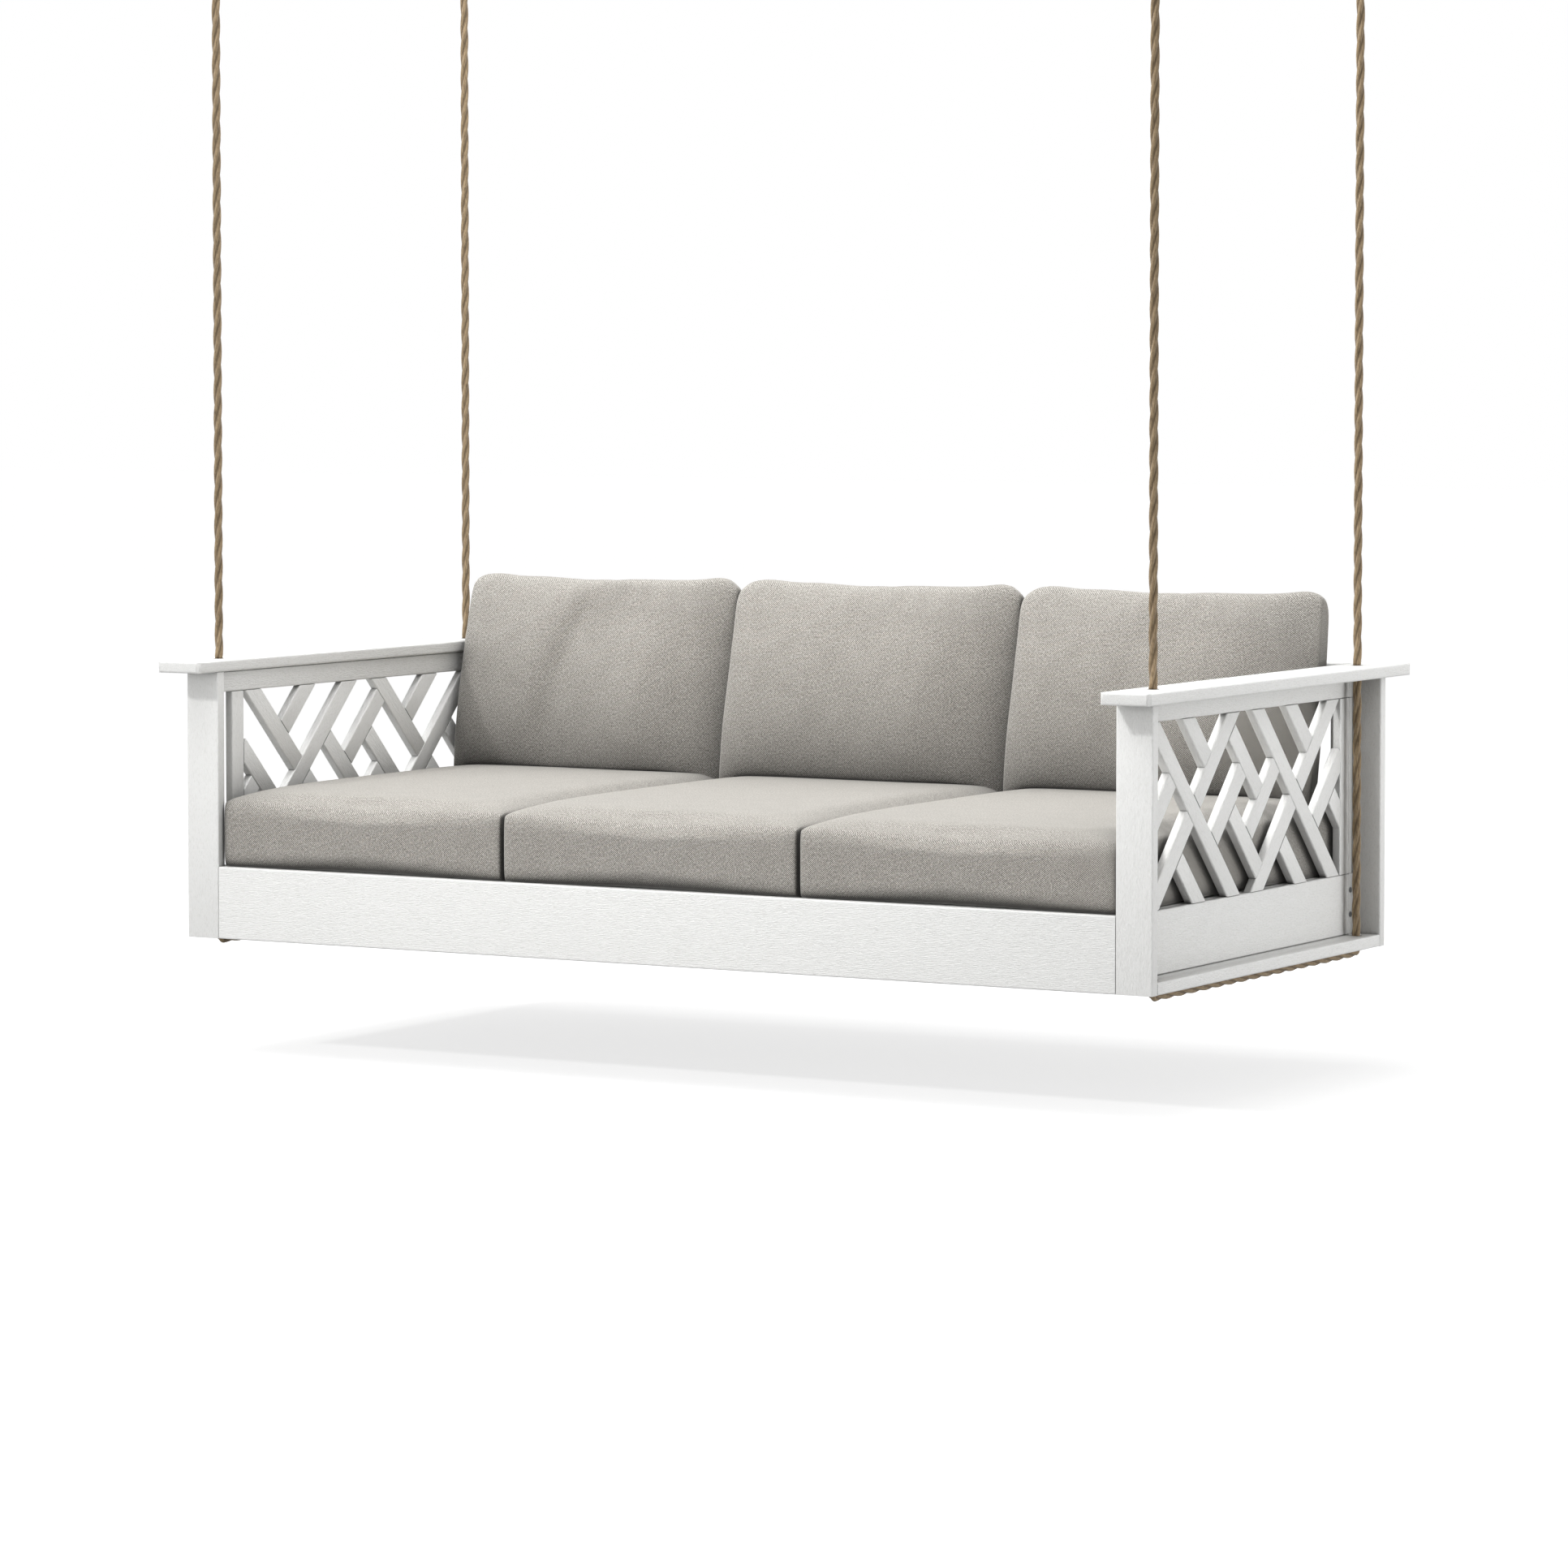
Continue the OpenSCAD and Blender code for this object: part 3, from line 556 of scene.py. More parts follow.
def dressBoard(name, node, slope):
    # the CAD boards with their edges eased, and the grain laid along each
    bm = bmesh.new()
    bm.from_mesh(frame["nodes"][node].data)
    bmesh.ops.remove_doubles(bm, verts=bm.verts, dist=0.002 * mm)
    bmesh.ops.dissolve_limit(bm, angle_limit=math.radians(0.5), verts=bm.verts, edges=bm.edges)
    sharpFrom = math.radians(lumber["sharpFrom"])
    sharp = [e for e in bm.edges if len(e.link_faces) == 2 and e.calc_face_angle(0) > sharpFrom]
    bmesh.ops.bevel(bm, geom=sharp, offset=lumber["ease"], segments=2, profile=0.5, affect="EDGES",
                    material=-1, clamp_overlap=True)
    grain = bm.verts.layers.float_vector.new("grain")
    for number, group in enumerate(islands(bm)):
        axes = grainAxes(slope)
        if slope:
            flat = Vector((1, 0, 0)) if slope == "side" else Vector((0, 1, 0))
            along = min(axes, key=lambda a: spread(group, a.cross(flat)))
        else:
            along = max(axes, key=lambda a: spread(group, a))
        across = along.orthogonal().normalized()
        third = along.cross(across)
        seed = Vector((number * 0.37, number * 0.53, len(node) * 0.11))   # no two boards show the same grain
        for vert in group:
            vert[grain] = Vector((vert.co.dot(along), vert.co.dot(across), vert.co.dot(third))) + seed
    bmesh.ops.triangulate(bm, faces=[f for f in bm.faces if len(f.verts) > 4])
    piece = newPiece(name, bm, plasticBoard, bodyOf(node), smoothAngle=28)
    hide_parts(node)


def bodyOf(node):
    for body, nodes in frame["record"]["behaviour"]["bodies"].items():
        if node in nodes:
            return body


plasticBoard = lumberMaterial()
boards = {
    "postFrontLeft": ("post_front_left", None), "postFrontRight": ("post_front_right", None),
    "postBackLeft": ("post_back_left", None), "postBackRight": ("post_back_right", None),
    "armLeft": ("arm_left", None), "armRight": ("arm_right", None), "backCap": ("back_cap", None),
    "frontApron": ("front_apron", None), "backApron": ("back_apron", None),
    "capCleat": ("cap_cleat", None), "topRailLeft": ("side_top_rail_left", None),
    "topRailRight": ("side_top_rail_right", None), "topRailBack": ("back_top_rail", None),
    "latticeLeft": ("side_lattice_left", "side"), "latticeRight": ("side_lattice_right", "side"),
    "latticeBack": ("back_lattice", "back"), "bottomBoardLeft": ("bottom_board_left", None),
    "bottomBoardRight": ("bottom_board_right", None), "sideApronLeft": ("side_apron_left", None),
    "sideApronRight": ("side_apron_right", None), "railFront": ("front_rail", None),
    "railBack": ("back_rail", None), "packingBlocks": ("frame_blocks", None),
    "slatCleats": ("slat_cleats", None), "deckBeam": ("deck_beam", None), "seatSlats": ("seat_slats", None),
}
for boardName, (boardNode, boardSlope) in boards.items():
    dressBoard(boardName, boardNode, boardSlope)
print("boards dressed")


# the hangers, links, thimbles, pins and screws
steel = {
    "hanger": "#B9BCBF",
    "pin": "#8A8D90",
    "brush": 0.35 * mm,
    "streak": 0.06,   # a brush mark's width to its length
}


def steelMaterial(name, colour, roughness):
    # stainless steel, brushed after bending: soft streaked shine
    material, tree = newMaterial(name)
    place = addNode(tree, "ShaderNodeTexCoord").outputs["Object"]
    drawn = addNode(tree, "ShaderNodeVectorMath", {"operation": "MULTIPLY", 1: (1, 1, steel["streak"])},
                    {0: place}).outputs["Vector"]
    streaks = addNode(tree, "ShaderNodeTexNoise", {"Scale": 0.5 / steel["brush"], "Detail": 3.0},
                      {"Vector": drawn}).outputs["Fac"]
    rough = addNode(tree, "ShaderNodeMapRange", {"To Min": roughness - 0.08, "To Max": roughness + 0.1},
                    {"Value": streaks}).outputs["Result"]
    stops = [(0.3, [c * 0.9 for c in linear(colour)[:3]] + [1]), (0.7, linear(colour))]
    tint = addNode(tree, "ShaderNodeValToRGB", {"stops": stops}, {"Fac": streaks}).outputs["Color"]
    bump = addNode(tree, "ShaderNodeBump", {"Strength": 0.15, "Distance": 0.05 * mm},
                   {"Height": streaks}).outputs["Normal"]
    shader = addNode(tree, "ShaderNodeBsdfPrincipled", {"Metallic": 1.0},
                     {"Base Color": tint, "Roughness": rough, "Normal": bump})
    addNode(tree, "ShaderNodeOutputMaterial", links={"Surface": shader.outputs["BSDF"]})
    return material


def finishNodes(names, material):
    for name in names:
        for slotItem in frame["nodes"][name].material_slots:
            slotItem.material = material


hangerSteel = steelMaterial("brushedStainless", steel["hanger"], 0.32)
pinSteel = steelMaterial("turnedPinSteel", steel["pin"], 0.28)
finishNodes(["hangers"] + [kind + c for c in cornerSigns for kind in ("link_", "thimble_")], hangerSteel)
finishNodes(["hanger_pins", "frame_screws"] + ["link_pin_" + c for c in cornerSigns], pinSteel)
print("steel finished")


# the woven outdoor cover of the cushions
fabric = {
    "light": "#E2DFD9",
    "mid": "#96928B",
    "dark": "#36332E",
    "sheen": "#F4F1EC",
    "across": 4.4 * mm,     # between dark threads, a little coarser than the real yarn so that it shows
    "down": 3.4 * mm,
    "waver": 0.5 * mm,      # how far a thread strays from its line
    "bends": 60.0,          # and how often, to the metre
    "fleck": 1.6 * mm,
    "fleckStretch": 0.35,   # width of a fleck to its length
    "slub": 3.1 * mm,       # thicker stretches of yarn, which show from a step away
    "mottle": 30.0,         # soft patches to the metre
    "shares": {"weave": 0.42, "fleck": 1.0, "slub": 0.56, "mottle": 0.12},
    "relief": 0.4 * mm,
    # painted shade: the cover is drawn darker at the foot of the backs, down in the joints, and where it
    # touches
    "nookShade": [(360 * mm, 0.26, 0.96, 0.28), (95 * mm, 0.3, 0.88, 0.45), (24 * mm, 0.18, 0.7, 0.1)],
}


def fabricMaterial():
    # spun acrylic in a diamond twill: matt, grey-beige, dark dots on a light ground, with a soft sheen
    material, tree = newMaterial("heatheredTwill")
    share = fabric["shares"]
    weave = addNode(tree, "ShaderNodeUVMap", {"uv_map": "weave"}).outputs["UV"]
    place = addNode(tree, "ShaderNodeAttribute", {"attribute_name": "rest"}).outputs["Vector"]
    stray = addNode(tree, "ShaderNodeTexNoise", {"Scale": fabric["bends"], "Detail": 1.0},
                    {"Vector": weave}).outputs["Color"]
    strayed = addNode(tree, "ShaderNodeVectorMath", {"operation": "MULTIPLY_ADD", 1: (fabric["waver"],) * 3},
                      {0: stray, 2: weave}).outputs["Vector"]
    split = addNode(tree, "ShaderNodeSeparateXYZ", links={"Vector": strayed})
    waves = []
    for axis, period in (("X", fabric["across"]), ("Y", fabric["down"])):
        turned = addNode(tree, "ShaderNodeMath", {"operation": "MULTIPLY", 1: 2 * math.pi / period},
                         {0: split.outputs[axis]}).outputs["Value"]
        waves.append(addNode(tree, "ShaderNodeMath", {"operation": "COSINE"}, {0: turned}).outputs["Value"])
    cloth = addNode(tree, "ShaderNodeMath", {"operation": "MULTIPLY"},
                    {0: waves[0], 1: waves[1]}).outputs["Value"]
    yarns = []
    for stretch in ((fabric["fleckStretch"], 1, 1), (1, fabric["fleckStretch"], 1)):
        drawn = addNode(tree, "ShaderNodeVectorMath", {"operation": "MULTIPLY", 1: stretch}, {0: weave})
        yarns.append(addNode(tree, "ShaderNodeTexNoise", {"Scale": 1 / fabric["fleck"], "Detail": 1.0},
                             {"Vector": drawn.outputs["Vector"]}).outputs["Fac"])
    slub = addNode(tree, "ShaderNodeTexNoise", {"Scale": 1 / fabric["slub"], "Detail": 1.0, "Roughness": 0.4},
                   {"Vector": weave}).outputs["Fac"]
    mottle = addNode(tree, "ShaderNodeTexNoise", {"Scale": fabric["mottle"], "Detail": 3.0},
                     {"Vector": place}).outputs["Fac"]
    # the flecks lie down on the raised threads and across on the sunk ones
    level = addNode(tree, "ShaderNodeMath", {"operation": "MULTIPLY_ADD", 1: 0.5, 2: 0.5},
                    {0: cloth}).outputs["Value"]
    fleck = addNode(tree, "ShaderNodeMix", {"data_type": "FLOAT"},
                    {"Factor": level, "A": yarns[0], "B": yarns[1]}).outputs["Result"]
    # each noise lies round one half, so this keeps the sum there too
    offset = 0.5 * (1 - share["fleck"] - share["slub"] - share["mottle"])
    woven = addNode(tree, "ShaderNodeMath", {"operation": "MULTIPLY_ADD", 1: share["weave"], 2: offset},
                    {0: cloth}).outputs["Value"]
    flecked = addNode(tree, "ShaderNodeMath", {"operation": "MULTIPLY_ADD", 1: share["fleck"]},
                      {0: fleck, 2: woven}).outputs["Value"]
    slubbed = addNode(tree, "ShaderNodeMath", {"operation": "MULTIPLY_ADD", 1: share["slub"]},
                      {0: slub, 2: flecked}).outputs["Value"]
    mottled = addNode(tree, "ShaderNodeMath", {"operation": "MULTIPLY_ADD", 1: share["mottle"]},
                      {0: mottle, 2: slubbed}).outputs["Value"]
    stops = [(0.02, linear(fabric["dark"])), (0.5, linear(fabric["mid"])), (0.98, linear(fabric["light"]))]
    yarn = addNode(tree, "ShaderNodeValToRGB", {"stops": stops}, {"Fac": mottled}).outputs["Color"]
    # painted shade: the yarn's colour is darkened in the nooks and joints
    colour = paintNookShade(tree, yarn, fabric["nookShade"], 5)
    bump = addNode(tree, "ShaderNodeBump", {"Strength": 0.4, "Distance": fabric["relief"]},
                   {"Height": flecked}).outputs["Normal"]
    shader = addNode(tree, "ShaderNodeBsdfPrincipled",
                     {"Roughness": 0.92, "Specular IOR Level": 0.15, "Sheen Weight": 0.65,
                      "Sheen Roughness": 0.5, "Sheen Tint": linear(fabric["sheen"])},
                     {"Base Color": colour, "Normal": bump})
    addNode(tree, "ShaderNodeOutputMaterial", links={"Surface": shader.outputs["BSDF"]})
    return material


seat = {
    "size": (615 * mm, 904 * mm, 148 * mm),
    "edgeHeight": 120 * mm,
    "crown": (13 * mm, 8.0, 4.0),    # on each face before stuffing, and how flat its middle is both ways
    "corners": (5 * mm, 5 * mm),     # seen from above: in front, at the back
    "edge": 10 * mm,
    "voxel": 8 * mm,
    "pressure": 0.8,
    "cap": 10 * mm,                  # the furthest that the stuffing moves a point of the cover
    "bow": (0.002, 0.0),             # sides of the blank bowed out, as they draw in when it is stuffed
    "relax": 4,
    "squeeze": (30 * mm, 20 * mm),   # how much the neighbours and the cover press the sides flat
    "spread": 6.5 * mm,              # how far the outer sides of the row bulge towards the side panels
    "shift": -7 * mm,                # each joint lies this much to the left of the even spacing
}
backPad = {
    "size": (616 * mm, 414 * mm, 132 * mm),
    "edgeHeight": 46 * mm,
    "crown": (42 * mm, 2.6, 2.4),
    "corners": (18 * mm, 54 * mm),   # seen from the front: at the foot, at the top
    "edge": 18 * mm,
    "voxel": 7 * mm,
    "pressure": 0.5,
    "cap": 8 * mm,
    "bow": (0.004, 0.006),
    "relax": 5,
    "squeeze": (20 * mm, 0),
    "spread": -5 * mm,               # the outer sides of this row stay inside the even spacing
    "shift": -6 * mm,
    "forward": 5 * mm,               # the stuffing pushes the pad off the panel
    "fallAway": (0.3, 1.9, 0.97),    # right side: where it starts to thin, how fast, share lost at the end
    "fullness": (0.45, 1.5, 0.45),   # left side: where it starts to fill, how fast, share gained
    "evenTop": (0.35, 0.6),          # from where up both are less, and by what share at the top
    "wedge": (0.5, 14 * mm),         # below where the pad gets thicker, and by how much at the foot
    "faceFrom": 0.3,                 # that is added in full from this share of the thickness out
    "jointShift": 5 * mm,            # each pad laps its left neighbour's place by this much, low down
    "waist": (2 * mm, 4.5, 0.6),     # the sides wave a little: how far, how often, where it starts
    "ripple": (1 * mm, 9),           # and so does the top edge
    "sag": 15.6 * mm,                # how far its foot sinks below where it would just touch
    "foldRoot": 40 * mm,             # the folds run out towards the edge, where the pad is thinner than this
}
# ears and a dip in the top edge: place and width (shares of the half width), height
ears = [(-0.80, 0.14, 4 * mm), (0.85, 0.11, 3.6 * mm), (-0.6, 0.12, -1.5 * mm)]
# soft folds in the face: place at the middle, slant and curve, width (shares of the half width), depth
folds = [
    (-0.20, 0.158, 0.150, 0.15, 21 * mm),
    (0.14, 0.06, 0.0, 0.1, 3 * mm),
    (0.52, -0.16, 0.0, 0.09, 5 * mm),
]
foldStrength = {-1: 1.0, 0: 0.2, 1: 0.3}   # the left cushion is the one that was sat against
foldTail = 0.12      # a fold is steep on its left side and runs out this slowly on its right
foldMiddle = -0.05   # height at which the folds are deepest
cover = {"quality": 5, "mass": 0.3, "stiffness": 15, "shear": 5, "bending": 4}
simFrames = 20


def blank(settings):
    # a block of upholstery foam with rounded corners and edges
    width, depth = settings["size"][:2]
    height = settings["edgeHeight"]
    bm = bmesh.new()
    bmesh.ops.create_cube(bm, size=1.0, matrix=Matrix.Diagonal((width, depth, height, 1)))
    for side, corner in zip((-1, 1), settings["corners"]):
        upright = [e for e in bm.edges if abs(e.verts[0].co.z - e.verts[1].co.z) > 0.5 * height
                   and e.verts[0].co.y * side > 0.49 * depth and abs(e.verts[0].co.x) > 0.49 * width]
        bmesh.ops.bevel(bm, geom=upright, offset=corner, segments=8, profile=0.5, affect="EDGES", material=-1)
    rims = [e for e in bm.edges if abs(e.calc_face_angle(0)) > math.radians(60)]
    bmesh.ops.bevel(bm, geom=rims, offset=settings["edge"], segments=5, profile=0.5, affect="EDGES",
                    material=-1)
    return bm


def swell(name, settings):
    # the foam block remeshed, crowned and with its sides bowed out, in a cover that is about to be stuffed
    bm = blank(settings)
    mesh = bpy.data.meshes.new(name)
    bm.to_mesh(mesh)
    bm.free()
    pad = bpy.data.objects.new(name, mesh)
    bpy.context.scene.collection.objects.link(pad)
    remesh = pad.modifiers.new("remesh", "REMESH")
    remesh.mode = "VOXEL"
    remesh.voxel_size = settings["voxel"]
    applyModifiers(pad)
    rest = pad.data.attributes.new("rest", "FLOAT_VECTOR", "POINT")
    width, depth = settings["size"][:2]
    crown, flatAcross, flatAlong = settings["crown"]
    for i, vert in enumerate(pad.data.vertices):
        rest.data[i].vector = vert.co
        u, v = min(1, abs(2 * vert.co.x / width)), min(1, abs(2 * vert.co.y / depth))
        vert.co.z *= 1 + 2 * crown / settings["edgeHeight"] * (1 - u ** flatAcross) * (1 - v ** flatAlong)
        vert.co.x *= 1 + settings["bow"][0] * (1 - v * v)
        vert.co.y *= 1 + settings["bow"][1] * (1 - u * u)
    cloth = pad.modifiers.new("cloth", "CLOTH")
    cloth.settings.quality = cover["quality"]
    cloth.settings.mass = cover["mass"]
    cloth.settings.tension_stiffness = cover["stiffness"]
    cloth.settings.compression_stiffness = cover["stiffness"]
    cloth.settings.shear_stiffness = cover["shear"]
    cloth.settings.bending_stiffness = cover["bending"]
    cloth.settings.use_pressure = True
    cloth.settings.uniform_pressure_force = settings["pressure"]
    cloth.settings.effector_weights.gravity = 0
    cloth.collision_settings.use_collision = False
    cloth.point_cache.frame_start = 1
    cloth.point_cache.frame_end = simFrames
    return pad


def applyModifiers(item):
    evaluated = item.evaluated_get(bpy.context.evaluated_depsgraph_get())
    mesh = bpy.data.meshes.new_from_object(evaluated)
    old = item.data
    item.modifiers.clear()
    item.data = mesh
    bpy.data.meshes.remove(old)


def runSimulation(pads):
    # a few frames of stuffing, with no point of the cover moving further than its cap
    scene = bpy.context.scene
    scene.frame_start, scene.frame_end = 1, simFrames
    before = [[v.co.copy() for v in pad.data.vertices] for pad, settings in pads]
    for number in range(1, simFrames + 1):
        scene.frame_set(number)
    for (pad, settings), start in zip(pads, before):
        applyModifiers(pad)
        for vert, old in zip(pad.data.vertices, start):
            step = vert.co - old
            if step.length > settings["cap"]:
                vert.co = old + step * (settings["cap"] / step.length)
    scene.frame_set(1)


rowStep = middle("seat_cushion_right").x - middle("seat_cushion_middle").x
seatLow, seatHigh = (Vector(v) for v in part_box("seat_cushion_middle"))
backLow, backHigh = (Vector(v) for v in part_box("back_cushion_middle"))
lean = math.radians(9)   # of the back cushions
touch = 0.5 * mm       # room left to what a cushion lies on
sideGap = 3 * mm       # between neighbours
pressedEdge = 7 * mm   # roundness left on a pressed side
outerStretch = 1.03    # the outer half of an outer pad is this much wider


def fit(pad, size):
    # takes up what the cover drew in or stretched, so that the pad has its real size
    reach = [max(abs(v.co[k]) for v in pad.data.vertices) for k in range(3)]
    for vert in pad.data.vertices:
        for k in range(3):
            vert.co[k] *= size[k] / 2 / reach[k]


def relax(pad, times):
    # eases the small buckles that the stuffing leaves
    bm = bmesh.new()
    bm.from_mesh(pad.data)
    for _ in range(times):
        bmesh.ops.smooth_vert(bm, verts=bm.verts, factor=0.5, use_axis_x=True, use_axis_y=True,
                              use_axis_z=True)
    bm.to_mesh(pad.data)
    bm.free()


def shapeSeat(pad):
    # flat on the slats, crowned on top
    width, depth, height = seat["size"]
    crown = height - seat["edgeHeight"]
    relax(pad, seat["relax"])
    fit(pad, (width + seat["squeeze"][0], depth + seat["squeeze"][1], seat["edgeHeight"] + 2 * crown))
    for vert in pad.data.vertices:
        vert.co.y = max(-depth / 2, vert.co.y)
        vert.co.z = max(vert.co.z + seat["edgeHeight"] / 2, 0)


def foldDepth(u, v):
    # u and v go from -1 to 1 across the pad and up it
    depth = 0
    for place, slant, curve, width, most in folds:
        t = (u - place - slant * v - curve * v * v) / width
        depth += most * math.exp(-t * t * (1 if t < 0 else foldTail)) * max(0, 1 - abs(v - foldMiddle) ** 4)
    return depth


def sideways(u, v):
    # the stuffing has slid to the left: that side stays full and the right side falls away
    top, share = backPad["evenTop"]
    even = 1 - share * max(0.0, v - top) / (1 - top)
    grown = []
    for way, name in ((1, "fallAway"), (-1, "fullness")):
        start, power, most = backPad[name]
        grown.append(most * max(0.0, (way * u - start) / (1 - start)) ** power)
    return 1 + even * (grown[1] - grown[0])


def lowShare(v):
    # grows from nothing in the upper half to one at the foot
    start = backPad["wedge"][0]
    return max(0.0, min(1.0, (start - v) / (1 + start)))


def topEdge(u):
    # the corners stand up a little and the edge between them is slightly wavy
    most, often = backPad["ripple"]
    return most * math.sin(often * u) + sum(h * math.exp(-((u - x) / w) ** 2) for x, w, h in ears)


def shapeBack(pad):
    width, height, thick = backPad["size"]
    most, often, start = backPad["waist"]
    relax(pad, backPad["relax"])
    fit(pad, (width + backPad["squeeze"][0], height, thick))
    for vert in pad.data.vertices:
        p = vert.co
        u, v = 2 * p.x / width, 2 * p.y / height
        if p.z > 0:
            full = min(1, p.z / (backPad["faceFrom"] * thick))
            p.z += full * backPad["wedge"][1] * lowShare(v)
            p.z *= sideways(u, v)
        p.y += topEdge(u) * max(0, v) ** 3
        p.x += most * math.sin(often * v + start) * abs(u) ** 3


def heldWidth(x, number, settings, shift=0.0):
    # the neighbours press a side flat, and the outer sides of the row bulge freely as far as the side panels
    gap = rowStep / 2 - sideGap / 2
    if number * x > 0:
        slide = settings["shift"] * (1 - min(1, abs(x) / gap))
        return held(outerStretch * x, gap + settings["spread"]) + slide
    return held(x, gap + shift if x > 0 else gap - shift) + settings["shift"]


def held(x, limit):
    # runs softly against the limit, so that the edges of a pressed side stay round
    start = limit - pressedEdge
    if abs(x) <= start:
        return x
    return math.copysign(limit - pressedEdge * math.exp((start - abs(x)) / pressedEdge), x)


def placeSeat(pad, number):
    base = Vector((number * rowStep, (seatLow.y + seatHigh.y) / 2, seatLow.z))
    for vert in pad.data.vertices:
        p = vert.co
        p.x = heldWidth(p.x, number, seat)
        p.y = min(p.y, (seatHigh.y - seatLow.y) / 2)
        vert.co = p + base


def placeBack(pad, number, seats):
    # leaning on the back panel, its foot pressed on the seat cushions
    tilt = Matrix.Rotation(math.pi / 2 - lean, 4, "X")
    centre = (backLow + backHigh) / 2 - Vector((0, backPad["forward"], backPad["sag"]))
    height = backPad["size"][1]
    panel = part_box("back_top_rail")[0][1] - touch
    down = Vector((0, 0, -1))
    reach, above = 5 * mm, 100 * mm
    for vert in pad.data.vertices:
        u, v = 2 * vert.co.x / backPad["size"][0], 2 * vert.co.y / height
        if vert.co.z > 0:
            vert.co.z -= min(1, vert.co.z / backPad["foldRoot"]) * foldStrength[number] * foldDepth(u, v)
        p = tilt @ vert.co
        p.x = heldWidth(p.x, number, backPad, -backPad["jointShift"] * lowShare(v))
        p += Vector((number * rowStep, centre.y, centre.z))
        p.y = min(p.y, panel)
        if p.z < seatHigh.z + reach:
            hits = [tree.ray_cast(Vector((p.x, p.y, seatHigh.z + above)), down)[0] for tree in seats]
            floor = max([h.z for h in hits if h], default=p.z)
            p.z = max(p.z, floor + touch)
        vert.co = p


def finishPad(pad, node):
    # smoothed once, dressed, and its weave laid flat from each side of the foam block
    subdivide = pad.modifiers.new("smooth", "SUBSURF")
    subdivide.levels = subdivide.render_levels = 1
    applyModifiers(pad)
    mesh = pad.data
    mesh.materials.clear()
    mesh.materials.append(twill)
    for polygon in mesh.polygons:
        polygon.use_smooth = True
    uv = mesh.uv_layers.new(name="weave")
    rest = mesh.attributes["rest"].data
    for polygon in mesh.polygons:
        own = [rest[v].vector for v in polygon.vertices]
        normal = (own[1] - own[0]).cross(own[2] - own[0])
        axis = max(range(3), key=lambda k: abs(normal[k]))
        first, second = [(1, 2), (0, 2), (0, 1)][axis]
        for loop, point in zip(polygon.loop_indices, own):
            uv.data[loop].uv = (point[first], point[second])
    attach(pad, "bed")
    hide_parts(node)


def copied(pad, name):
    pad.name = "first_" + name
    twin = bpy.data.objects.new(name, pad.data.copy())
    bpy.context.scene.collection.objects.link(twin)
    return twin


def surfaceTree(pad):
    mesh = pad.data
    points = [v.co.copy() for v in mesh.vertices]
    return BVHTree.FromPolygons(points, [list(p.vertices) for p in mesh.polygons])


def makeCushions():
    # the seat and the back cushions are alike, so one of each is stuffed and copied
    places = (("left", -1), ("middle", 0), ("right", 1))
    firstSeat = swell("stuffedSeat", seat)
    firstBack = swell("stuffedBack", backPad)
    runSimulation([(firstSeat, seat), (firstBack, backPad)])
    shapeSeat(firstSeat)
    shapeBack(firstBack)
    seats = []
    for side, number in places:
        seats.append(copied(firstSeat, "seatCushion_" + side))
        placeSeat(seats[-1], number)
    trees = [surfaceTree(pad) for pad in seats]
    for pad, (side, number) in zip(seats, places):
        finishPad(pad, "seat_cushion_" + side)
    for side, number in places:
        pad = copied(firstBack, "backCushion_" + side)
        placeBack(pad, number, trees)
        finishPad(pad, "back_cushion_" + side)
    for pad in (firstSeat, firstBack):
        mesh = pad.data
        bpy.data.objects.remove(pad)
        bpy.data.meshes.remove(mesh)


twill = fabricMaterial()
makeCushions()
print("cushions stuffed")


stage = {
    "floor": -2.301,
    "floorReach": 40,      # to each side, well past the view
    "floorSeen": 0.45,     # the floor's own grey to the camera, where its glow makes up the rest of white
    "floorGlow": 0.72,
    "floorBounce": 0.35,   # and to the light that it throws back on the bed
    "sky": 0.43,
    "keyWay": (0.355, 0.695, -0.626),   # a weak sun from the front left throws the shadows
    "key": 1.0,
    "keyAngle": 5,
    "aim": (0, 0, -1.8),
}
# soft boxes: over the bed, low behind its right side, and in front a little to the left
lamps = {
    "overhead": {"place": (-0.6, -0.4, 2.0), "size": (3, 4), "power": 194},
    "right": {"place": (5.5, 2.5, -1.55), "size": (3, 1.4), "power": 120},
    "front": {"place": (-1.7, -9.2, -0.9), "size": (3, 3), "power": 176},
}


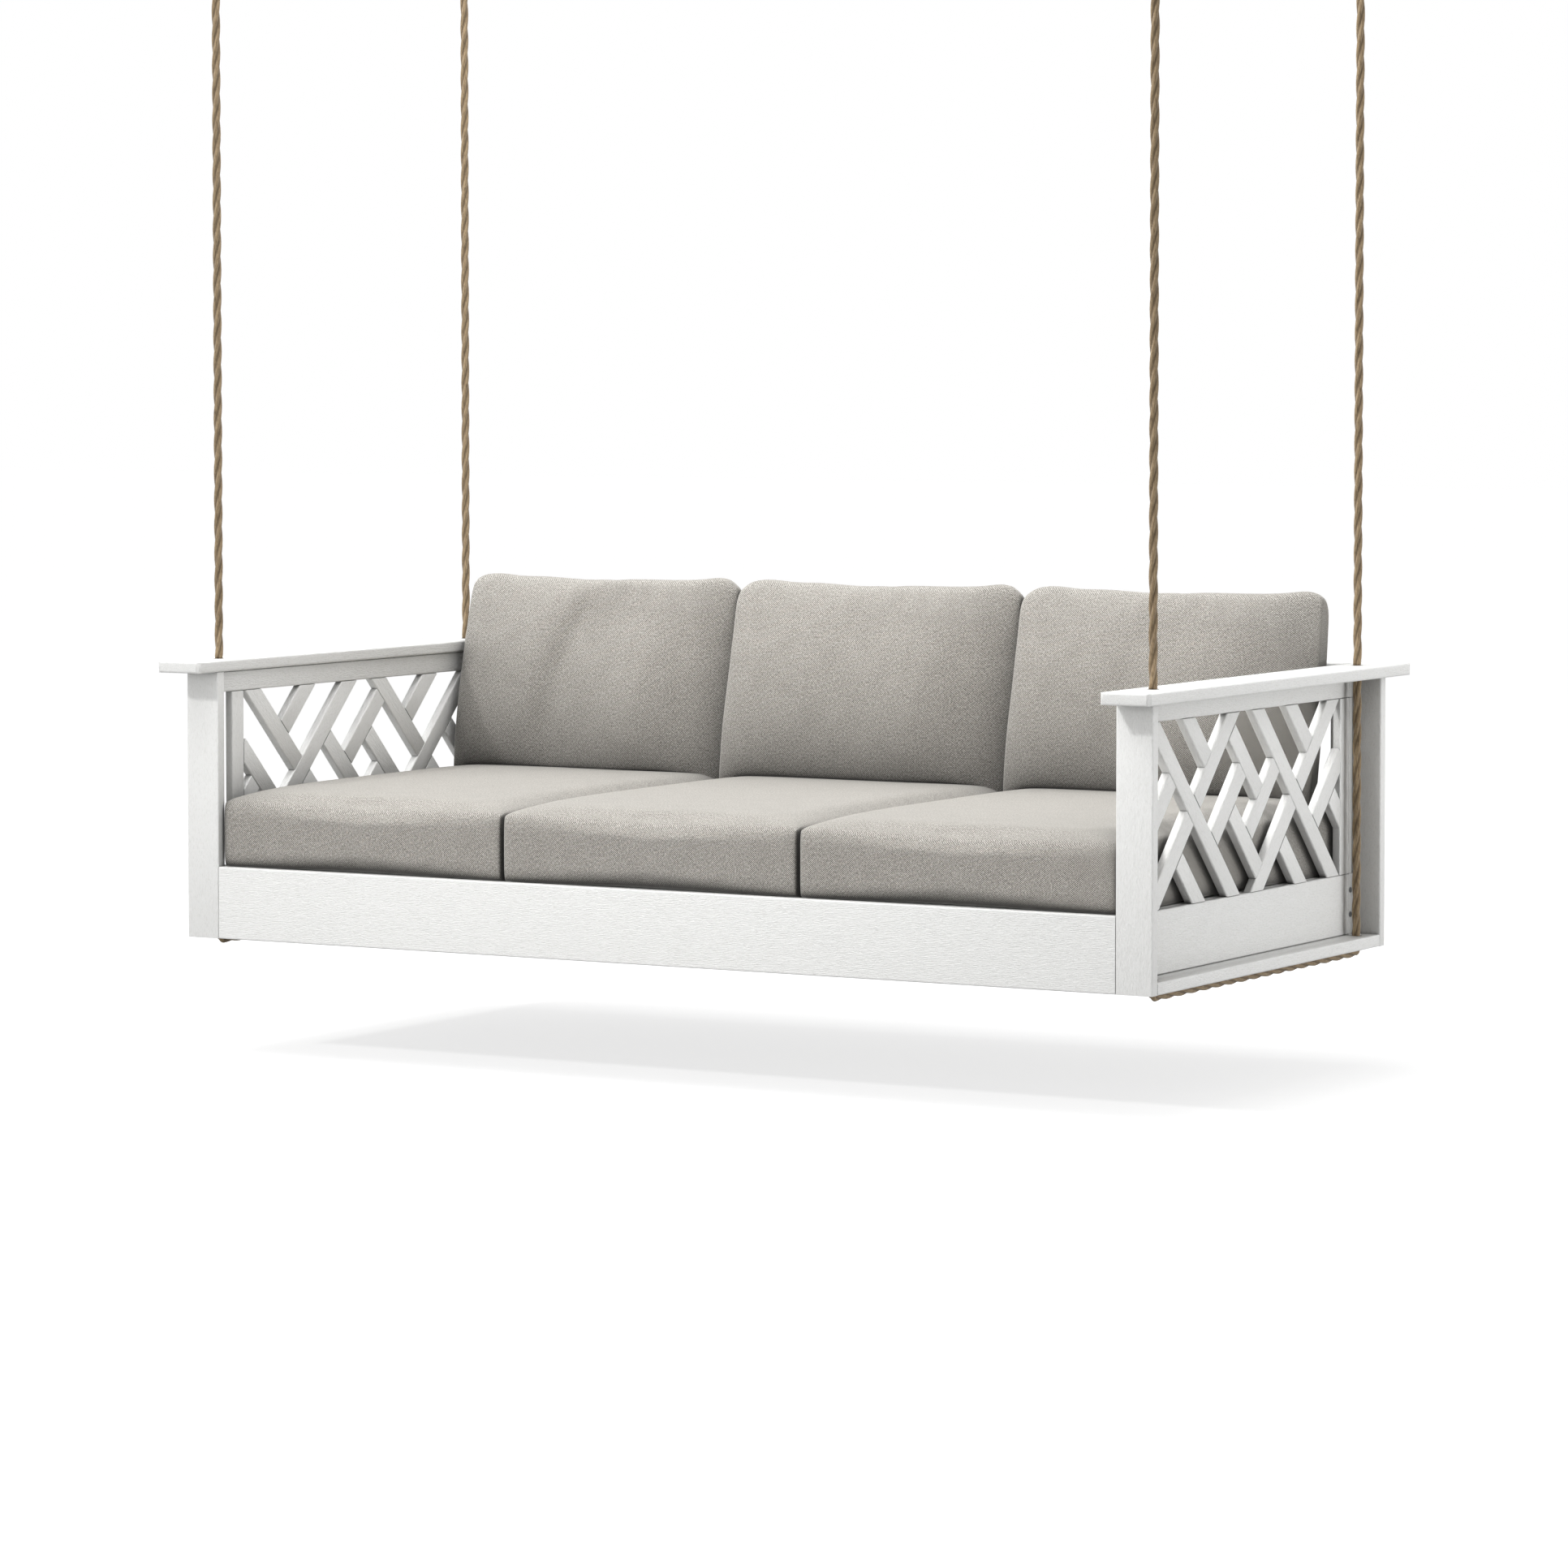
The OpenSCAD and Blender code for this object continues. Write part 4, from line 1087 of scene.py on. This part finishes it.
def makeStage():
    bm = bmesh.new()
    bmesh.ops.create_grid(bm, x_segments=1, y_segments=1, size=stage["floorReach"],
                          matrix=Matrix.Translation((0, 0, stage["floor"])))
    mesh = bpy.data.meshes.new("floor")
    bm.to_mesh(mesh)
    bm.free()
    floor = bpy.data.objects.new("floor", mesh)
    bpy.context.scene.collection.objects.link(floor)
    # a white sweep: to the camera it glows a little, so that it is white but for the soft shadow
    material, tree = newMaterial("whiteSweep")
    seen = addNode(tree, "ShaderNodeLightPath").outputs["Is Camera Ray"]
    tone = addNode(tree, "ShaderNodeMix", {"data_type": "RGBA", "A": grey(stage["floorBounce"]),
                                           "B": grey(stage["floorSeen"])}, {"Factor": seen})
    matt = addNode(tree, "ShaderNodeBsdfDiffuse", links={"Color": tone.outputs["Result"]})
    lift = addNode(tree, "ShaderNodeMath", {"operation": "MULTIPLY", 1: stage["floorGlow"]},
                   {0: seen}).outputs["Value"]
    glow = addNode(tree, "ShaderNodeEmission", {"Color": grey(1.0)}, {"Strength": lift})
    both = addNode(tree, "ShaderNodeAddShader", links={0: matt.outputs["BSDF"], 1: glow.outputs["Emission"]})
    addNode(tree, "ShaderNodeOutputMaterial", links={"Surface": both.outputs["Shader"]})
    mesh.materials.append(material)


def makeWorld():
    world = bpy.data.worlds.new("studio")
    world.use_nodes = True
    bpy.context.scene.world = world
    tree = world.node_tree
    tree.nodes.clear()
    path = addNode(tree, "ShaderNodeLightPath")
    glossy = addNode(tree, "ShaderNodeMath", {"operation": "MAXIMUM"},
                     {0: path.outputs["Is Camera Ray"], 1: path.outputs["Is Glossy Ray"]})
    seen = addNode(tree, "ShaderNodeMath", {"operation": "MAXIMUM"},
                   {0: glossy.outputs["Value"], 1: path.outputs["Is Transmission Ray"]})
    strength = addNode(tree, "ShaderNodeMapRange", {"To Min": stage["sky"], "To Max": 1.0},
                       {"Value": seen.outputs["Value"]})
    back = addNode(tree, "ShaderNodeBackground", {"Color": grey(1.0)},
                   {"Strength": strength.outputs["Result"]})
    addNode(tree, "ShaderNodeOutputWorld", links={"Surface": back.outputs["Background"]})


def makeLights():
    key = bpy.data.lights.new("key", "SUN")
    key.energy = stage["key"]
    key.angle = math.radians(stage["keyAngle"])
    item = bpy.data.objects.new("key", key)
    item.rotation_mode = "QUATERNION"
    item.rotation_quaternion = Vector(stage["keyWay"]).to_track_quat("-Z", "Y")
    bpy.context.scene.collection.objects.link(item)
    for name, lamp in lamps.items():
        light = bpy.data.lights.new(name, "AREA")
        light.shape = "RECTANGLE"
        light.size, light.size_y = lamp["size"]
        light.energy = lamp["power"]
        item = bpy.data.objects.new(name, light)
        item.location = lamp["place"]
        aim = Vector(stage["aim"]) - item.location
        item.rotation_mode = "QUATERNION"
        item.rotation_quaternion = aim.to_track_quat("-Z", "Y")
        bpy.context.scene.collection.objects.link(item)


makeStage()
makeWorld()
makeLights()
bpy.context.scene.view_settings.view_transform = "Standard"
print("stage lit")
